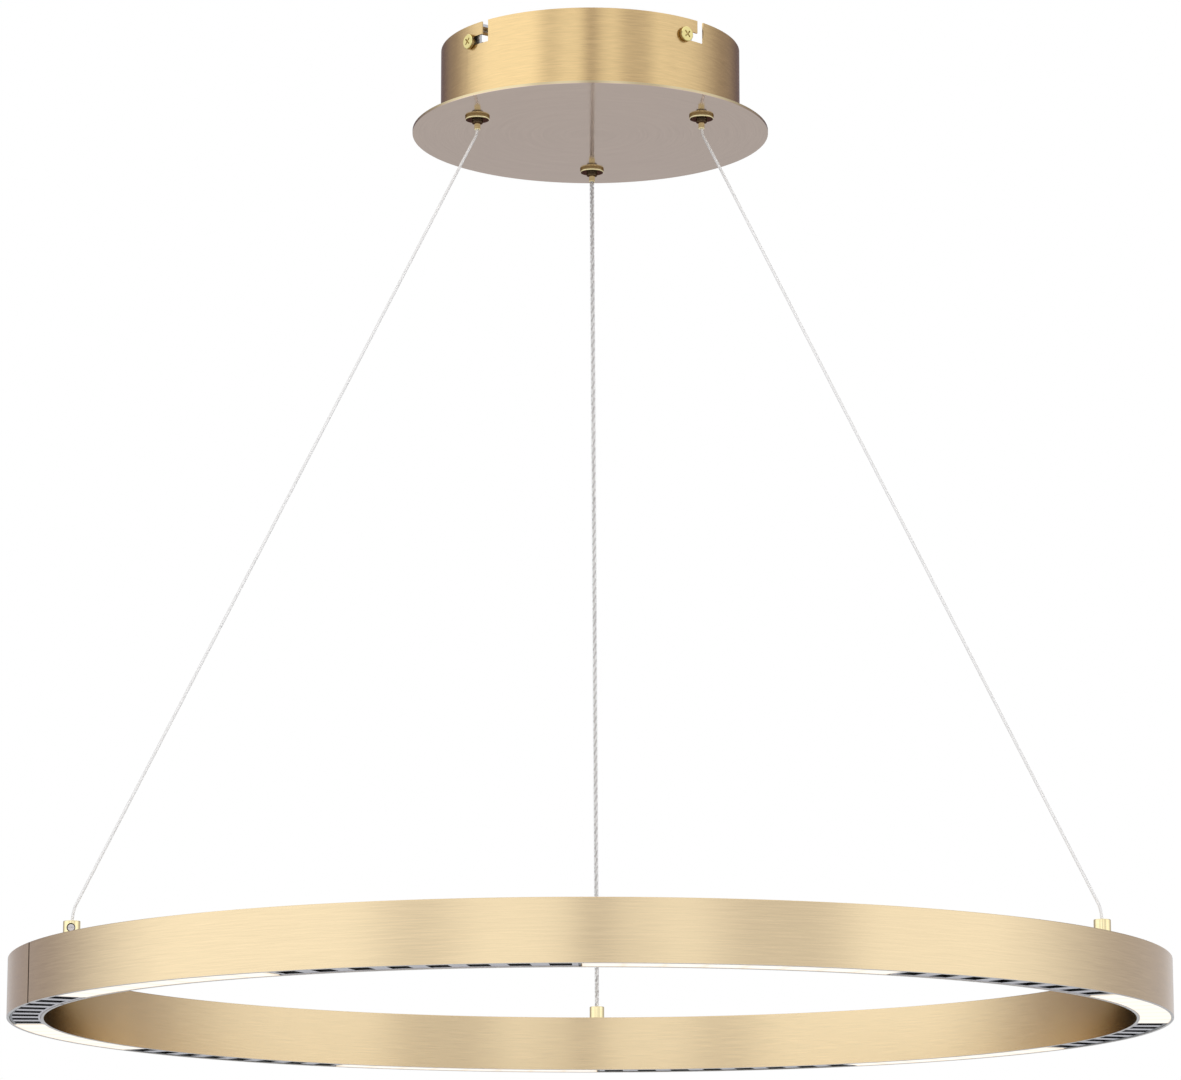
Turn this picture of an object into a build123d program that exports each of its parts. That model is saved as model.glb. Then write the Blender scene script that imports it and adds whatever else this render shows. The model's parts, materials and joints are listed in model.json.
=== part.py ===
"""LED ring chandelier: a slim brass-finished ring hung level on three cables from a round canopy.

Millimetres, +Z up. The origin is on the ceiling, at the centre of the mounting bracket. A bearing
is an angle about +Z from the front (-Y), counter-clockwise seen from above, so +90 is the right.
Each sub-part is written to parts/NODE.step, and a node with several solids is a group of like pieces.
"""
from build123d import *

import os
from math import cos, degrees, radians, sin, sqrt, tan

# Ring: a rolled aluminium channel, open below, with a web that carries the LED boards
RING_DIAMETER = 813.0
RING_WIDTH = 25.5
RING_HEIGHT = 41.0
RING_WALL = 2.0
WEB_HEIGHT = 24.0
WEB_THICKNESS = 1.6
WIRE_HOLE_DIAMETER = 5.0
SEAM_BEARING = -67.0
SEAM_WIDTH = 0.5
SEAM_DEPTH = 0.4
SEGMENTS = 12
CELLS = 8

# Light strips pressed into the channel, frosted diffusers and cell louvres by turns
STRIP_CLEARANCE = 0.2
STRIP_RECESS = 0.4
STRIP_FACE_THICKNESS = 2.2
STRIP_END_GAP = 0.5
STRIP_WALL = 1.2
LUG_LENGTH = 10.0
LUG_HEIGHT = 7.6
LUG_REACH = 1.0
LUG_CLEARANCE = 0.1
CELL_DIVIDER = 11.5
CELL_APERTURE = 7.0
LOUVRE_TO_LED = 0.5
BOARD_THICKNESS = 1.6
BOARD_WIDTH = 17.0
LED_SIZE = 5.0
LED_HEIGHT = 0.9

# Cable anchors on the ring's top, each with a stud, a square nut and a grub screw
ANCHOR_DIAMETER = 11.5
ANCHOR_HEIGHT = 9.5
ANCHOR_BEARINGS = {"left": -60.0, "right": 60.0, "rear": 180.0}
GRUB_BEARINGS = {"left": 1.0, "right": 150.0, "rear": -60.0}
GRUB_HOLE_DIAMETER = 4.8
GRUB_DIAMETER = 4.6
GRUB_LENGTH = 2.6
GRUB_RECESS = 1.0
GRUB_SLOT_WIDTH = 0.8
STUD_DIAMETER = 6.0
STUD_LENGTH = 7.0
STUD_CLEARANCE = 0.2
NUT_SQUARE = 10.0
NUT_THICKNESS = 3.0
SCREW_CLEARANCE = 0.05

# Cables, drawn tight by the ring's weight
SUSPENSION_HEIGHT = 606.5
CABLE_DIAMETER = {"left": 1.6, "right": 1.6, "rear": 2.4}
CABLE_BORE = {"left": 2.4, "right": 2.4, "rear": 3.4}
CABLE_SIDES = 8
CABLE_EXIT_RUN = 2.5
CABLE_ANCHOR_RUN = 6.0
CABLE_IN_ANCHOR = 5.0
TAIL_RISE = 15.0
HARNESS_WIDTH = 4.8
HARNESS_THICKNESS = 2.2
HARNESS_GAP = 4.0

# Canopy: a drawn shell welded by its flange to a wider round plate
CANOPY_DIAMETER = 218.0
CANOPY_WALL = 1.2
CANOPY_HEIGHT = 62.0
CANOPY_FLANGE = 5.0
PLATE_DIAMETER = 259.0
PLATE_THICKNESS = 2.0

# Bayonet slots and the thumb screws that the canopy hangs on
SCREW_COUNT = 4
SCREW_BEARING = -51.0
SCREW_DEPTH = 12.6
SCREW_SIZE = 4.0
TWIST = 8.1
SLOT_LEG_WIDTH = 6.2
SLOT_HEIGHT = 6.7
THUMB_HEAD_DIAMETER = 10.9
THUMB_HEAD_THICKNESS = 2.8
THUMB_HEAD_GAP = 0.3
THUMB_END = 5.0
CROSS_WIDTH = 1.3
CROSS_LENGTH = 7.0
CROSS_DEPTH = 1.2

# Mounting bracket
BRACKET_THICKNESS = 2.0
BRACKET_HUB_DIAMETER = 120.0
ARM_WIDTH = 16.0
ARM_RIB_WIDTH = 4.0
ARM_RIB_HEIGHT = 1.5
TAB_HEIGHT = 20.0
TAB_CLEARANCE = 0.4
WIRE_HOLE_RADIUS = 11.0
WIDE_SLOT_SPACING = 88.9
WIDE_SLOT_LENGTH = 18.0
NARROW_SLOT_SPACING = 70.0
NARROW_SLOT_LENGTH = 14.0
MOUNT_SLOT_WIDTH = 5.2
GROUND_SCREW_RADIUS = 50.0
GROUND_SCREW_BEARING = 20.0
GROUND_HEAD_DIAMETER = 8.5
GROUND_HEAD_THICKNESS = 2.6

# Cable grippers through the plate
GRIPPER_WALL_DISTANCE = 14.8
GRIPPER_FLANGE_DIAMETER = 17.6
GRIPPER_FLANGE_THICKNESS = 2.2
GRIPPER_NECK_DIAMETER = 7.8
GRIPPER_NECK_LENGTH = 2.6
GRIPPER_BARREL_DIAMETER = 10.0
GRIPPER_BARREL_HEIGHT = 14.0
GRIPPER_TOP_THICKNESS = 2.0
GRIPPER_HOLE_CLEARANCE = 0.15
GRIPPER_NUT_WIDTH = 14.0
GRIPPER_NUT_HEIGHT = 4.0
SLEEVE_DIAMETER = 4.5
SLEEVE_REACH = 4.5
SLEEVE_COLLAR_DIAMETER = 6.2
SLEEVE_COLLAR_HEIGHT = 2.0
SLIDING_CLEARANCE = 0.1
SPRING_WALL = 0.5

# Driver and terminal block inside the canopy, in line from back to front
DRIVER_LENGTH = 110.0
DRIVER_WIDTH = 46.0
DRIVER_HEIGHT = 27.0
DRIVER_CORNER = 4.0
DRIVER_LID_INSET = 1.0
DRIVER_LID_HEIGHT = 8.0
DRIVER_CENTRE_Y = 6.0
DRIVER_EAR_LENGTH = 10.0
DRIVER_EAR_WIDTH = 14.0
DRIVER_EAR_THICKNESS = 3.0
DRIVER_EAR_OFFSET = 15.0
DRIVER_BOSS_DIAMETER = 8.0
DRIVER_BOSS_HEIGHT = 3.0
DRIVER_SCREW_HEAD = 7.0
DRIVER_SCREW_HEAD_HEIGHT = 2.4
DRIVER_SCREW_SIZE = 3.0
DRIVER_OUTPUT_HEIGHT = 21.0
LEAD_RELIEF_DIAMETER = 8.0
LEAD_RELIEF_LENGTH = 6.0
MAINS_LEAD_DIAMETER = 5.0
TERMINAL_LENGTH = 32.0
TERMINAL_WIDTH = 18.0
TERMINAL_HEIGHT = 18.0
TERMINAL_CENTRE_Y = -80.0
TERMINAL_POLES = 3
TERMINAL_WELL_DIAMETER = 4.5
TERMINAL_WELL_DEPTH = 6.0
TERMINAL_ENTRY_SIZE = 3.6
TERMINAL_ENTRY_DEPTH = 6.0

# How far a cut or a joined shape runs past a face
JOIN = 1.0

# Levels and radii that follow from the sizes above
ring_outer = RING_DIAMETER / 2
ring_inner = ring_outer - RING_WIDTH
ring_middle = (ring_outer + ring_inner) / 2
plate_bottom = -CANOPY_HEIGHT
plate_top = plate_bottom + PLATE_THICKNESS
ring_top = plate_bottom - SUSPENSION_HEIGHT
ring_bottom = ring_top - RING_HEIGHT
web_bottom = ring_bottom + WEB_HEIGHT
web_top = web_bottom + WEB_THICKNESS
roof_bottom = ring_top - RING_WALL
canopy_outer = CANOPY_DIAMETER / 2
canopy_inner = canopy_outer - CANOPY_WALL
gripper_pitch_radius = canopy_inner - GRIPPER_WALL_DISTANCE
screw_level = -SCREW_DEPTH
tab_face = sqrt((canopy_inner - TAB_CLEARANCE) ** 2 - (ARM_WIDTH / 2) ** 2)
driver_base = plate_top + DRIVER_BOSS_HEIGHT
driver_output_level = driver_base + DRIVER_OUTPUT_HEIGHT
terminal_level = plate_top + TERMINAL_HEIGHT / 2
gripper_flange_bottom = plate_bottom - GRIPPER_FLANGE_THICKNESS
gripper_bottom = gripper_flange_bottom - GRIPPER_NECK_LENGTH
gripper_top = plate_bottom + GRIPPER_BARREL_HEIGHT
sleeve_tip = gripper_bottom - SLEEVE_REACH
anchor_top = ring_top + ANCHOR_HEIGHT
segment_angle = 360 / SEGMENTS
driver_front = DRIVER_CENTRE_Y - DRIVER_LENGTH / 2
driver_back = DRIVER_CENTRE_Y + DRIVER_LENGTH / 2
driver_ear_top = driver_base + DRIVER_EAR_THICKNESS
driver_screws_at = (
    (DRIVER_EAR_OFFSET, driver_front - DRIVER_EAR_LENGTH / 2),
    (-DRIVER_EAR_OFFSET, driver_back + DRIVER_EAR_LENGTH / 2),
)


def turned(shape, bearing):
    """A shape built at the front, carried round the Z axis to a bearing."""
    return Rot(0, 0, bearing) * shape


def sector(radius_in, radius_out, low, high, start, end):
    """A ring sector of rectangular section between two bearings."""
    section = Plane.XZ * Pos((radius_in + radius_out) / 2, (low + high) / 2) * Rectangle(
        radius_out - radius_in, high - low
    )
    return turned(revolve(section, Axis.Z, end - start), start - 90)


def upright(radius, low, high, x=0.0, y=0.0):
    """A vertical cylinder between two levels."""
    return Pos(x, y, (low + high) / 2) * Cylinder(radius, high - low)


def radial(radius, near, far, level):
    """A cylinder at the front whose axis points outward, between two distances from the centre."""
    return Pos(0, -(near + far) / 2, level) * Rot(90, 0, 0) * Cylinder(radius, far - near)


def lathe(*points):
    """A solid turned about the Z axis from its (radius, level) outline."""
    return revolve(make_face(Plane.XZ * Polyline(*points, close=True)), Axis.Z)


def hexagon(width, low, high, x=0.0, y=0.0):
    """A hexagonal prism measured across its flats."""
    outline = RegularPolygon(width / 2, 6, major_radius=False)
    return extrude(Pos(x, y, low) * outline, high - low)


def at_bearing(radius, bearing):
    """X and Y of a point at a radius and a bearing."""
    return radius * sin(radians(bearing)), -radius * cos(radians(bearing))


def write(node, *solids):
    """One STEP file for a node."""
    shape = solids[0] if len(solids) == 1 else Compound(children=list(solids))
    shape.label = node
    export_step(shape, f"parts/{node}.step")


def tube_route(points, radii, diameter):
    """An eight-sided tube along straight runs joined by tangent arcs, and its length."""
    path = FilletPolyline(*points, radius=radii)
    section = Plane(path @ 0, z_dir=path % 0) * RegularPolygon(diameter / 2, CABLE_SIDES)
    tube = sweep(section, path=path)
    return tube, tube.volume / section.area


def bend_radius(before, corner, after):
    """The arc that takes 0.45 of the shorter run beside a corner."""
    run_in = Vector(*corner) - Vector(*before)
    run_out = Vector(*after) - Vector(*corner)
    half_turn = radians(run_in.get_angle(run_out)) / 2
    return 0.45 * min(run_in.length, run_out.length) / tan(half_turn)


# --- Mounting bracket -------------------------------------------------------------------------
def mounting_bracket():
    """Pressed steel hub with four ribbed arms, each bent down into a tab with a threaded hole."""
    bracket = upright(BRACKET_HUB_DIAMETER / 2, -BRACKET_THICKNESS, 0)
    tab_inner = tab_face - BRACKET_THICKNESS
    arm_start = BRACKET_HUB_DIAMETER / 2 - ARM_WIDTH / 2
    arm = Pos(0, -(arm_start + tab_face) / 2, -BRACKET_THICKNESS / 2) * Box(
        ARM_WIDTH, tab_face - arm_start, BRACKET_THICKNESS
    )
    arm += Pos(0, -(tab_inner + tab_face) / 2, -TAB_HEIGHT / 2) * Box(
        ARM_WIDTH, BRACKET_THICKNESS, TAB_HEIGHT
    )
    arm += Pos(0, -(arm_start + tab_inner) / 2, -BRACKET_THICKNESS - ARM_RIB_HEIGHT / 2) * Box(
        ARM_RIB_WIDTH, tab_inner - arm_start, ARM_RIB_HEIGHT
    )
    arm -= radial(SCREW_SIZE / 2, tab_inner - JOIN, tab_face + JOIN, screw_level)
    for k in range(SCREW_COUNT):
        bracket += turned(arm, SCREW_BEARING + k * 360 / SCREW_COUNT)
    bracket -= upright(WIRE_HOLE_RADIUS, -BRACKET_THICKNESS, 0)
    cut_depth = 2 * BRACKET_THICKNESS
    for side in (-1, 1):
        wide = Pos(side * WIDE_SLOT_SPACING / 2, 0, -cut_depth) * SlotOverall(
            WIDE_SLOT_LENGTH, MOUNT_SLOT_WIDTH
        )
        narrow = Pos(0, side * NARROW_SLOT_SPACING / 2, -cut_depth) * Rot(0, 0, 90) * SlotOverall(
            NARROW_SLOT_LENGTH, MOUNT_SLOT_WIDTH
        )
        bracket -= extrude(wide, 2 * cut_depth)
        bracket -= extrude(narrow, 2 * cut_depth)
    x, y = at_bearing(GROUND_SCREW_RADIUS, GROUND_SCREW_BEARING)
    return bracket - upright(SCREW_SIZE / 2, -cut_depth, cut_depth, x, y)


def ground_screw():
    """Green earthing screw under the bracket, with a cross recess."""
    x, y = at_bearing(GROUND_SCREW_RADIUS, GROUND_SCREW_BEARING)
    head_top = -BRACKET_THICKNESS
    head_bottom = head_top - GROUND_HEAD_THICKNESS
    shank = SCREW_SIZE / 2 - SCREW_CLEARANCE
    screw = upright(GROUND_HEAD_DIAMETER / 2, head_bottom, head_top, x, y)
    screw += upright(shank, head_bottom, 0, x, y)
    for turn in (0, 90):
        screw -= Pos(x, y, head_bottom) * Rot(0, 0, turn) * Box(
            CROSS_LENGTH, CROSS_WIDTH, 2 * CROSS_DEPTH
        )
    return screw


def thumb_screw():
    """Knurled-head screw that the canopy hangs on, built at the front."""
    head_in = canopy_outer + THUMB_HEAD_GAP
    head_out = head_in + THUMB_HEAD_THICKNESS
    shank_in = tab_face - BRACKET_THICKNESS - THUMB_END
    screw = radial(SCREW_SIZE / 2 - SCREW_CLEARANCE, shank_in, head_in + JOIN, screw_level)
    screw += radial(THUMB_HEAD_DIAMETER / 2, head_in, head_out, screw_level)
    for turn in (45, 135):
        slot = Box(CROSS_LENGTH, 2 * CROSS_DEPTH, CROSS_WIDTH)
        screw -= Pos(0, -head_out, screw_level) * Rot(0, turn, 0) * slot
    return screw


# --- Canopy -----------------------------------------------------------------------------------
def canopy_shell():
    """Drawn shell with a welding flange below and L-shaped bayonet slots at its top edge."""
    shell = lathe(
        (canopy_inner - CANOPY_FLANGE, plate_top),
        (canopy_outer, plate_top),
        (canopy_outer, 0),
        (canopy_inner, 0),
        (canopy_inner, plate_top + CANOPY_WALL),
        (canopy_inner - CANOPY_FLANGE, plate_top + CANOPY_WALL),
    )
    cut_in, cut_out = canopy_inner - CANOPY_WALL, canopy_outer + CANOPY_WALL
    level_low = screw_level - SLOT_HEIGHT / 2
    level_high = screw_level + SLOT_HEIGHT / 2
    leg_angle = degrees(SLOT_LEG_WIDTH / 2 / canopy_outer)
    slot = sector(cut_in, cut_out, level_low, level_high, 0, TWIST + leg_angle)
    slot += sector(cut_in, cut_out, level_low, CANOPY_WALL, TWIST - leg_angle, TWIST + leg_angle)
    slot += radial(SLOT_HEIGHT / 2, cut_in, cut_out, screw_level)
    for k in range(SCREW_COUNT):
        shell -= turned(slot, SCREW_BEARING + k * 360 / SCREW_COUNT)
    return shell


def canopy_plate():
    """Round plate with the grippers' holes and two bosses for the driver's screws."""
    plate = upright(PLATE_DIAMETER / 2, plate_bottom, plate_top)
    for x, y in driver_screws_at:
        plate += upright(DRIVER_BOSS_DIAMETER / 2, plate_top - JOIN, driver_base, x, y)
        plate -= upright(DRIVER_SCREW_SIZE / 2, plate_top, driver_base, x, y)
    hole = GRIPPER_BARREL_DIAMETER / 2 + GRIPPER_HOLE_CLEARANCE
    for bearing in ANCHOR_BEARINGS.values():
        x, y = at_bearing(gripper_pitch_radius, bearing)
        plate -= upright(hole, plate_bottom - JOIN, plate_top + JOIN, x, y)
    return plate


# --- Driver, terminal block and leads ---------------------------------------------------------
def led_driver():
    """Moulded driver case with an inset lid, two screw ears and a strain relief at each end."""
    base_height = DRIVER_HEIGHT - DRIVER_LID_HEIGHT
    base = RectangleRounded(DRIVER_WIDTH, DRIVER_LENGTH, DRIVER_CORNER)
    lid = offset(base, -DRIVER_LID_INSET)
    case = extrude(Pos(0, DRIVER_CENTRE_Y, driver_base) * base, base_height)
    case += extrude(Pos(0, DRIVER_CENTRE_Y, driver_base + base_height) * lid, DRIVER_LID_HEIGHT)
    for end, (x, y) in zip((-1, 1), driver_screws_at):
        case += Pos(x, y - end * JOIN, driver_base + DRIVER_EAR_THICKNESS / 2) * Box(
            DRIVER_EAR_WIDTH, DRIVER_EAR_LENGTH + 2 * JOIN, DRIVER_EAR_THICKNESS
        )
        hole = DRIVER_SCREW_SIZE / 2 + STUD_CLEARANCE
        case -= upright(hole, driver_base - JOIN, driver_ear_top + JOIN, x, y)
    relief = LEAD_RELIEF_DIAMETER / 2
    near, far = -driver_back - LEAD_RELIEF_LENGTH, -driver_front + LEAD_RELIEF_LENGTH
    case += radial(relief, near, -driver_back + JOIN, driver_output_level)
    return case + radial(relief, -driver_front - JOIN, far, terminal_level)


def driver_screws():
    """Pan-head screws through the driver's ears into the plate's bosses."""
    screws = []
    head_top = driver_ear_top + DRIVER_SCREW_HEAD_HEIGHT
    shank = DRIVER_SCREW_SIZE / 2 - SCREW_CLEARANCE
    for x, y in driver_screws_at:
        screw = upright(DRIVER_SCREW_HEAD / 2, driver_ear_top, head_top, x, y)
        screws.append(screw + upright(shank, plate_top, driver_ear_top + JOIN, x, y))
    return screws


def terminal_block():
    """Moulded three-pole block with screw wells above and square wire entries on both sides."""
    top = plate_top + TERMINAL_HEIGHT
    block = Pos(0, TERMINAL_CENTRE_Y, terminal_level) * Box(
        TERMINAL_LENGTH, TERMINAL_WIDTH, TERMINAL_HEIGHT
    )
    pitch = TERMINAL_LENGTH / TERMINAL_POLES
    well = TERMINAL_WELL_DIAMETER / 2
    entry = Box(TERMINAL_ENTRY_SIZE, 2 * TERMINAL_ENTRY_DEPTH, TERMINAL_ENTRY_SIZE)
    for pole in range(TERMINAL_POLES):
        x = (pole - (TERMINAL_POLES - 1) / 2) * pitch
        block -= upright(well, top - TERMINAL_WELL_DEPTH, top + JOIN, x, TERMINAL_CENTRE_Y)
        for side in (-1, 1):
            y = TERMINAL_CENTRE_Y + side * TERMINAL_WIDTH / 2
            block -= Pos(x, y, terminal_level) * entry
    return block


def mains_lead():
    """Sheathed lead straight from the driver's front end to the terminal block."""
    near = -driver_front + LEAD_RELIEF_LENGTH
    far = -TERMINAL_CENTRE_Y - TERMINAL_WIDTH / 2
    return radial(MAINS_LEAD_DIAMETER / 2, near, far, terminal_level)


# --- Cable grippers ---------------------------------------------------------------------------
chamber_radius = SLEEVE_COLLAR_DIAMETER / 2 + SLIDING_CLEARANCE
chamber_top = gripper_top - GRIPPER_TOP_THICKNESS
chamber_floor = gripper_flange_bottom
collar_top = chamber_floor + SLEEVE_COLLAR_HEIGHT


def gripper(side):
    """Turned body: a flange under the plate and a barrel through it that holds sleeve and spring."""
    bore = CABLE_BORE[side] / 2
    sleeve_hole = SLEEVE_DIAMETER / 2 + SLIDING_CLEARANCE
    flange = GRIPPER_FLANGE_DIAMETER / 2
    neck = GRIPPER_NECK_DIAMETER / 2
    barrel = GRIPPER_BARREL_DIAMETER / 2
    return lathe(
        (sleeve_hole, gripper_bottom),
        (neck, gripper_bottom),
        (neck, gripper_flange_bottom),
        (flange, gripper_flange_bottom),
        (flange, plate_bottom),
        (barrel, plate_bottom),
        (barrel, gripper_top),
        (bore, gripper_top),
        (bore, chamber_top),
        (chamber_radius, chamber_top),
        (chamber_radius, chamber_floor),
        (sleeve_hole, chamber_floor),
    )


def release_sleeve(side):
    """Sleeve that is pushed up to free the cable. Its collar rests on the chamber's floor."""
    bore = CABLE_BORE[side] / 2
    outside = SLEEVE_DIAMETER / 2
    collar = SLEEVE_COLLAR_DIAMETER / 2
    return lathe(
        (bore, sleeve_tip),
        (outside, sleeve_tip),
        (outside, chamber_floor),
        (collar, chamber_floor),
        (collar, collar_top),
        (bore, collar_top),
    )


def gripper_spring():
    """Plain sleeve that fills the space of the hidden compression spring."""
    outside = SLEEVE_COLLAR_DIAMETER / 2
    return lathe(
        (outside - SPRING_WALL, collar_top),
        (outside, collar_top),
        (outside, chamber_top),
        (outside - SPRING_WALL, chamber_top),
    )


def gripper_nut():
    """Hexagonal nut on the gripper's barrel, on top of the plate."""
    nut = hexagon(GRIPPER_NUT_WIDTH, plate_top, plate_top + GRIPPER_NUT_HEIGHT)
    return nut - upright(GRIPPER_BARREL_DIAMETER / 2 + SCREW_CLEARANCE, plate_bottom, gripper_top)


# --- Cables -----------------------------------------------------------------------------------
def cable(side):
    """The tight stretch from inside the sleeve's tip down to the anchor, built at the front."""
    anchor_bend = anchor_top + CABLE_ANCHOR_RUN
    points = [
        (0, -gripper_pitch_radius, gripper_bottom),
        (0, -gripper_pitch_radius, sleeve_tip - CABLE_EXIT_RUN),
        (0, -ring_middle, anchor_bend),
        (0, -ring_middle, anchor_top - CABLE_IN_ANCHOR),
    ]
    radii = [bend_radius(*points[k : k + 3]) for k in range(len(points) - 2)]
    tube, length = tube_route(points, radii, CABLE_DIAMETER[side])
    print(f"{side} cable: length {length:.1f}, radii {[round(r, 1) for r in radii]}")
    return tube


def cable_tail(side):
    """The end of a suspension cable, cut off above its gripper."""
    x, y = at_bearing(gripper_pitch_radius, ANCHOR_BEARINGS[side])
    return upright(CABLE_DIAMETER[side] / 2, gripper_bottom, gripper_top + TAIL_RISE, x, y)


def power_tail():
    """The power cable's end, from the rear gripper over to the driver's back end."""
    points = [
        (0, gripper_pitch_radius, gripper_bottom),
        (0, gripper_pitch_radius, driver_output_level),
        (0, driver_back + LEAD_RELIEF_LENGTH, driver_output_level),
    ]
    radius = bend_radius(*points)
    tube, length = tube_route(points, [radius], CABLE_DIAMETER["rear"])
    print(f"power tail: length {length:.1f}, radius {radius:.1f}")
    return tube


# --- Ring -------------------------------------------------------------------------------------
def section_box(left, right, low, high):
    """A rectangle of the ring's section, measured from its inner face and its bottom edge."""
    middle = Pos(ring_inner + (left + right) / 2, ring_bottom + (low + high) / 2)
    return middle * Rectangle(right - left, high - low)


def section_sweep(section, start, end):
    """A section of the ring carried round between two bearings."""
    return turned(revolve(Plane.XZ * section, Axis.Z, end - start), start - 90)


def ring_channel():
    """Channel rolled into a ring, with a roof for the anchors, a web and a seam on its outer wall."""
    section = section_box(0, RING_WIDTH, 0, RING_HEIGHT)
    inner, outer = RING_WALL, RING_WIDTH - RING_WALL
    section -= section_box(inner, outer, WEB_HEIGHT + WEB_THICKNESS, RING_HEIGHT - RING_WALL)
    section -= section_box(inner, outer, -JOIN, WEB_HEIGHT)
    channel = revolve(Plane.XZ * section, Axis.Z)
    stud_hole = STUD_DIAMETER / 2 + STUD_CLEARANCE
    for bearing in ANCHOR_BEARINGS.values():
        x, y = at_bearing(ring_middle, bearing)
        channel -= upright(stud_hole, roof_bottom - JOIN, ring_top + JOIN, x, y)
    for k in range(1, SEGMENTS, 2):
        x, y = at_bearing(ring_middle, k * segment_angle)
        channel -= upright(WIRE_HOLE_DIAMETER / 2, web_bottom - JOIN, web_top + JOIN, x, y)
    seam = Box(SEAM_WIDTH, 2 * SEAM_DEPTH, RING_HEIGHT + 2 * JOIN)
    seam = Pos(0, -ring_outer, ring_bottom + RING_HEIGHT / 2) * seam
    return channel - turned(seam, SEAM_BEARING)


strip_inner = RING_WALL + STRIP_CLEARANCE
strip_outer = RING_WIDTH - strip_inner
body_inner = strip_inner + LUG_REACH
body_outer = strip_outer - LUG_REACH
half_strip = segment_angle / 2 - degrees(STRIP_END_GAP / 2 / ring_middle)
cell_angle = 2 * half_strip / CELLS


def press_lugs(low, reach):
    """Four lugs that grip the channel's walls, built round bearing 0."""
    lugs = []
    for bearing in (-half_strip / 2, half_strip / 2):
        for near in (RING_WALL + LUG_CLEARANCE, RING_WIDTH - RING_WALL - LUG_CLEARANCE - reach):
            lug = Box(LUG_LENGTH, reach, LUG_HEIGHT - low)
            middle = ring_inner + near + reach / 2
            lug = Pos(0, -middle, ring_bottom + (low + LUG_HEIGHT) / 2) * lug
            lugs.append(turned(lug, bearing))
    return lugs


def diffuser():
    """Frosted strip with press lugs on its back, built round bearing 0."""
    face_top = STRIP_RECESS + STRIP_FACE_THICKNESS
    section = section_box(strip_inner, strip_outer, STRIP_RECESS, face_top)
    strip = section_sweep(section, -half_strip, half_strip)
    return strip + press_lugs(face_top - JOIN, LUG_REACH + STRIP_WALL)


def cell_outline(radius_in, radius_out, half_width, level):
    """The four corners of a cell at one level, with sides that spread like the ring's radii."""
    slope = tan(radians(cell_angle / 2))
    reach_in = half_width + (radius_in - ring_middle) * slope
    reach_out = half_width + (radius_out - ring_middle) * slope
    z = ring_bottom + level
    return [
        (-reach_in, -radius_in, z),
        (reach_in, -radius_in, z),
        (reach_out, -radius_out, z),
        (-reach_out, -radius_out, z),
    ]


def flat_funnel(mouth, throat):
    """A solid with flat sides between two outlines whose edges are parallel."""
    sides = [
        [mouth[k - 1], mouth[k], throat[k], throat[k - 1]] for k in range(len(mouth))
    ]
    return Solid(Shell([Face(Wire.make_polygon(outline)) for outline in (mouth, throat, *sides)]))


def louvre():
    """Row of funnel cells that narrow from the open face up to one LED each."""
    louvre_top = WEB_HEIGHT - BOARD_THICKNESS - LED_HEIGHT - LOUVRE_TO_LED
    section = section_box(strip_inner, strip_outer, STRIP_RECESS, STRIP_RECESS + STRIP_WALL)
    section += section_box(body_inner, body_outer, STRIP_RECESS, louvre_top)
    bar = section_sweep(section, -half_strip, half_strip)
    bar += press_lugs(STRIP_RECESS + STRIP_WALL / 2, LUG_REACH + STRIP_WALL / 2)
    cell_pitch = 2 * ring_middle * tan(radians(cell_angle / 2))
    low_in = ring_inner + body_inner + STRIP_WALL
    low_out = ring_inner + body_outer - STRIP_WALL
    half = CELL_APERTURE / 2
    mouth = cell_outline(low_in, low_out, (cell_pitch - CELL_DIVIDER) / 2, STRIP_RECESS)
    throat = cell_outline(ring_middle - half, ring_middle + half, half, louvre_top)
    funnel = flat_funnel(mouth, throat)
    for k in range(CELLS):
        bar -= turned(funnel, -half_strip + (k + 0.5) * cell_angle)
    return bar


def led_board():
    """Curved circuit board under the web with one LED package over each cell."""
    board_half = half_strip - degrees(STRIP_WALL / ring_middle)
    low = web_bottom - BOARD_THICKNESS
    board_in, board_out = ring_middle - BOARD_WIDTH / 2, ring_middle + BOARD_WIDTH / 2
    board = sector(board_in, board_out, low, web_bottom, -board_half, board_half)
    led = Pos(0, -ring_middle, low - LED_HEIGHT / 2) * Box(LED_SIZE, LED_SIZE, LED_HEIGHT)
    for k in range(CELLS):
        board += turned(led, -half_strip + (k + 0.5) * cell_angle)
    return board


def ring_harness():
    """Flat twin wire that lies on the web and feeds the boards, open beside the rear anchor."""
    left = RING_WALL + STRIP_CLEARANCE
    low = WEB_HEIGHT + WEB_THICKNESS
    section = section_box(left, left + HARNESS_WIDTH, low, low + HARNESS_THICKNESS)
    gap = degrees(HARNESS_GAP / ring_middle)
    return section_sweep(section, ANCHOR_BEARINGS["rear"] + gap, ANCHOR_BEARINGS["rear"] + 360 - gap)


# --- Anchors ----------------------------------------------------------------------------------
def cable_anchor(side):
    """Turned anchor with a cable bore, a stud through the roof and a cross hole for its screw."""
    radius = ANCHOR_DIAMETER / 2
    stud = STUD_DIAMETER / 2
    bore = CABLE_BORE[side] / 2
    stud_end = ring_top - STUD_LENGTH
    anchor = lathe(
        (bore, stud_end),
        (stud, stud_end),
        (stud, ring_top),
        (radius, ring_top),
        (radius, anchor_top),
        (bore, anchor_top),
    )
    level = ring_top + ANCHOR_HEIGHT / 2
    anchor -= turned(radial(GRUB_HOLE_DIAMETER / 2, 0, radius + JOIN, level), GRUB_BEARINGS[side])
    return anchor


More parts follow.
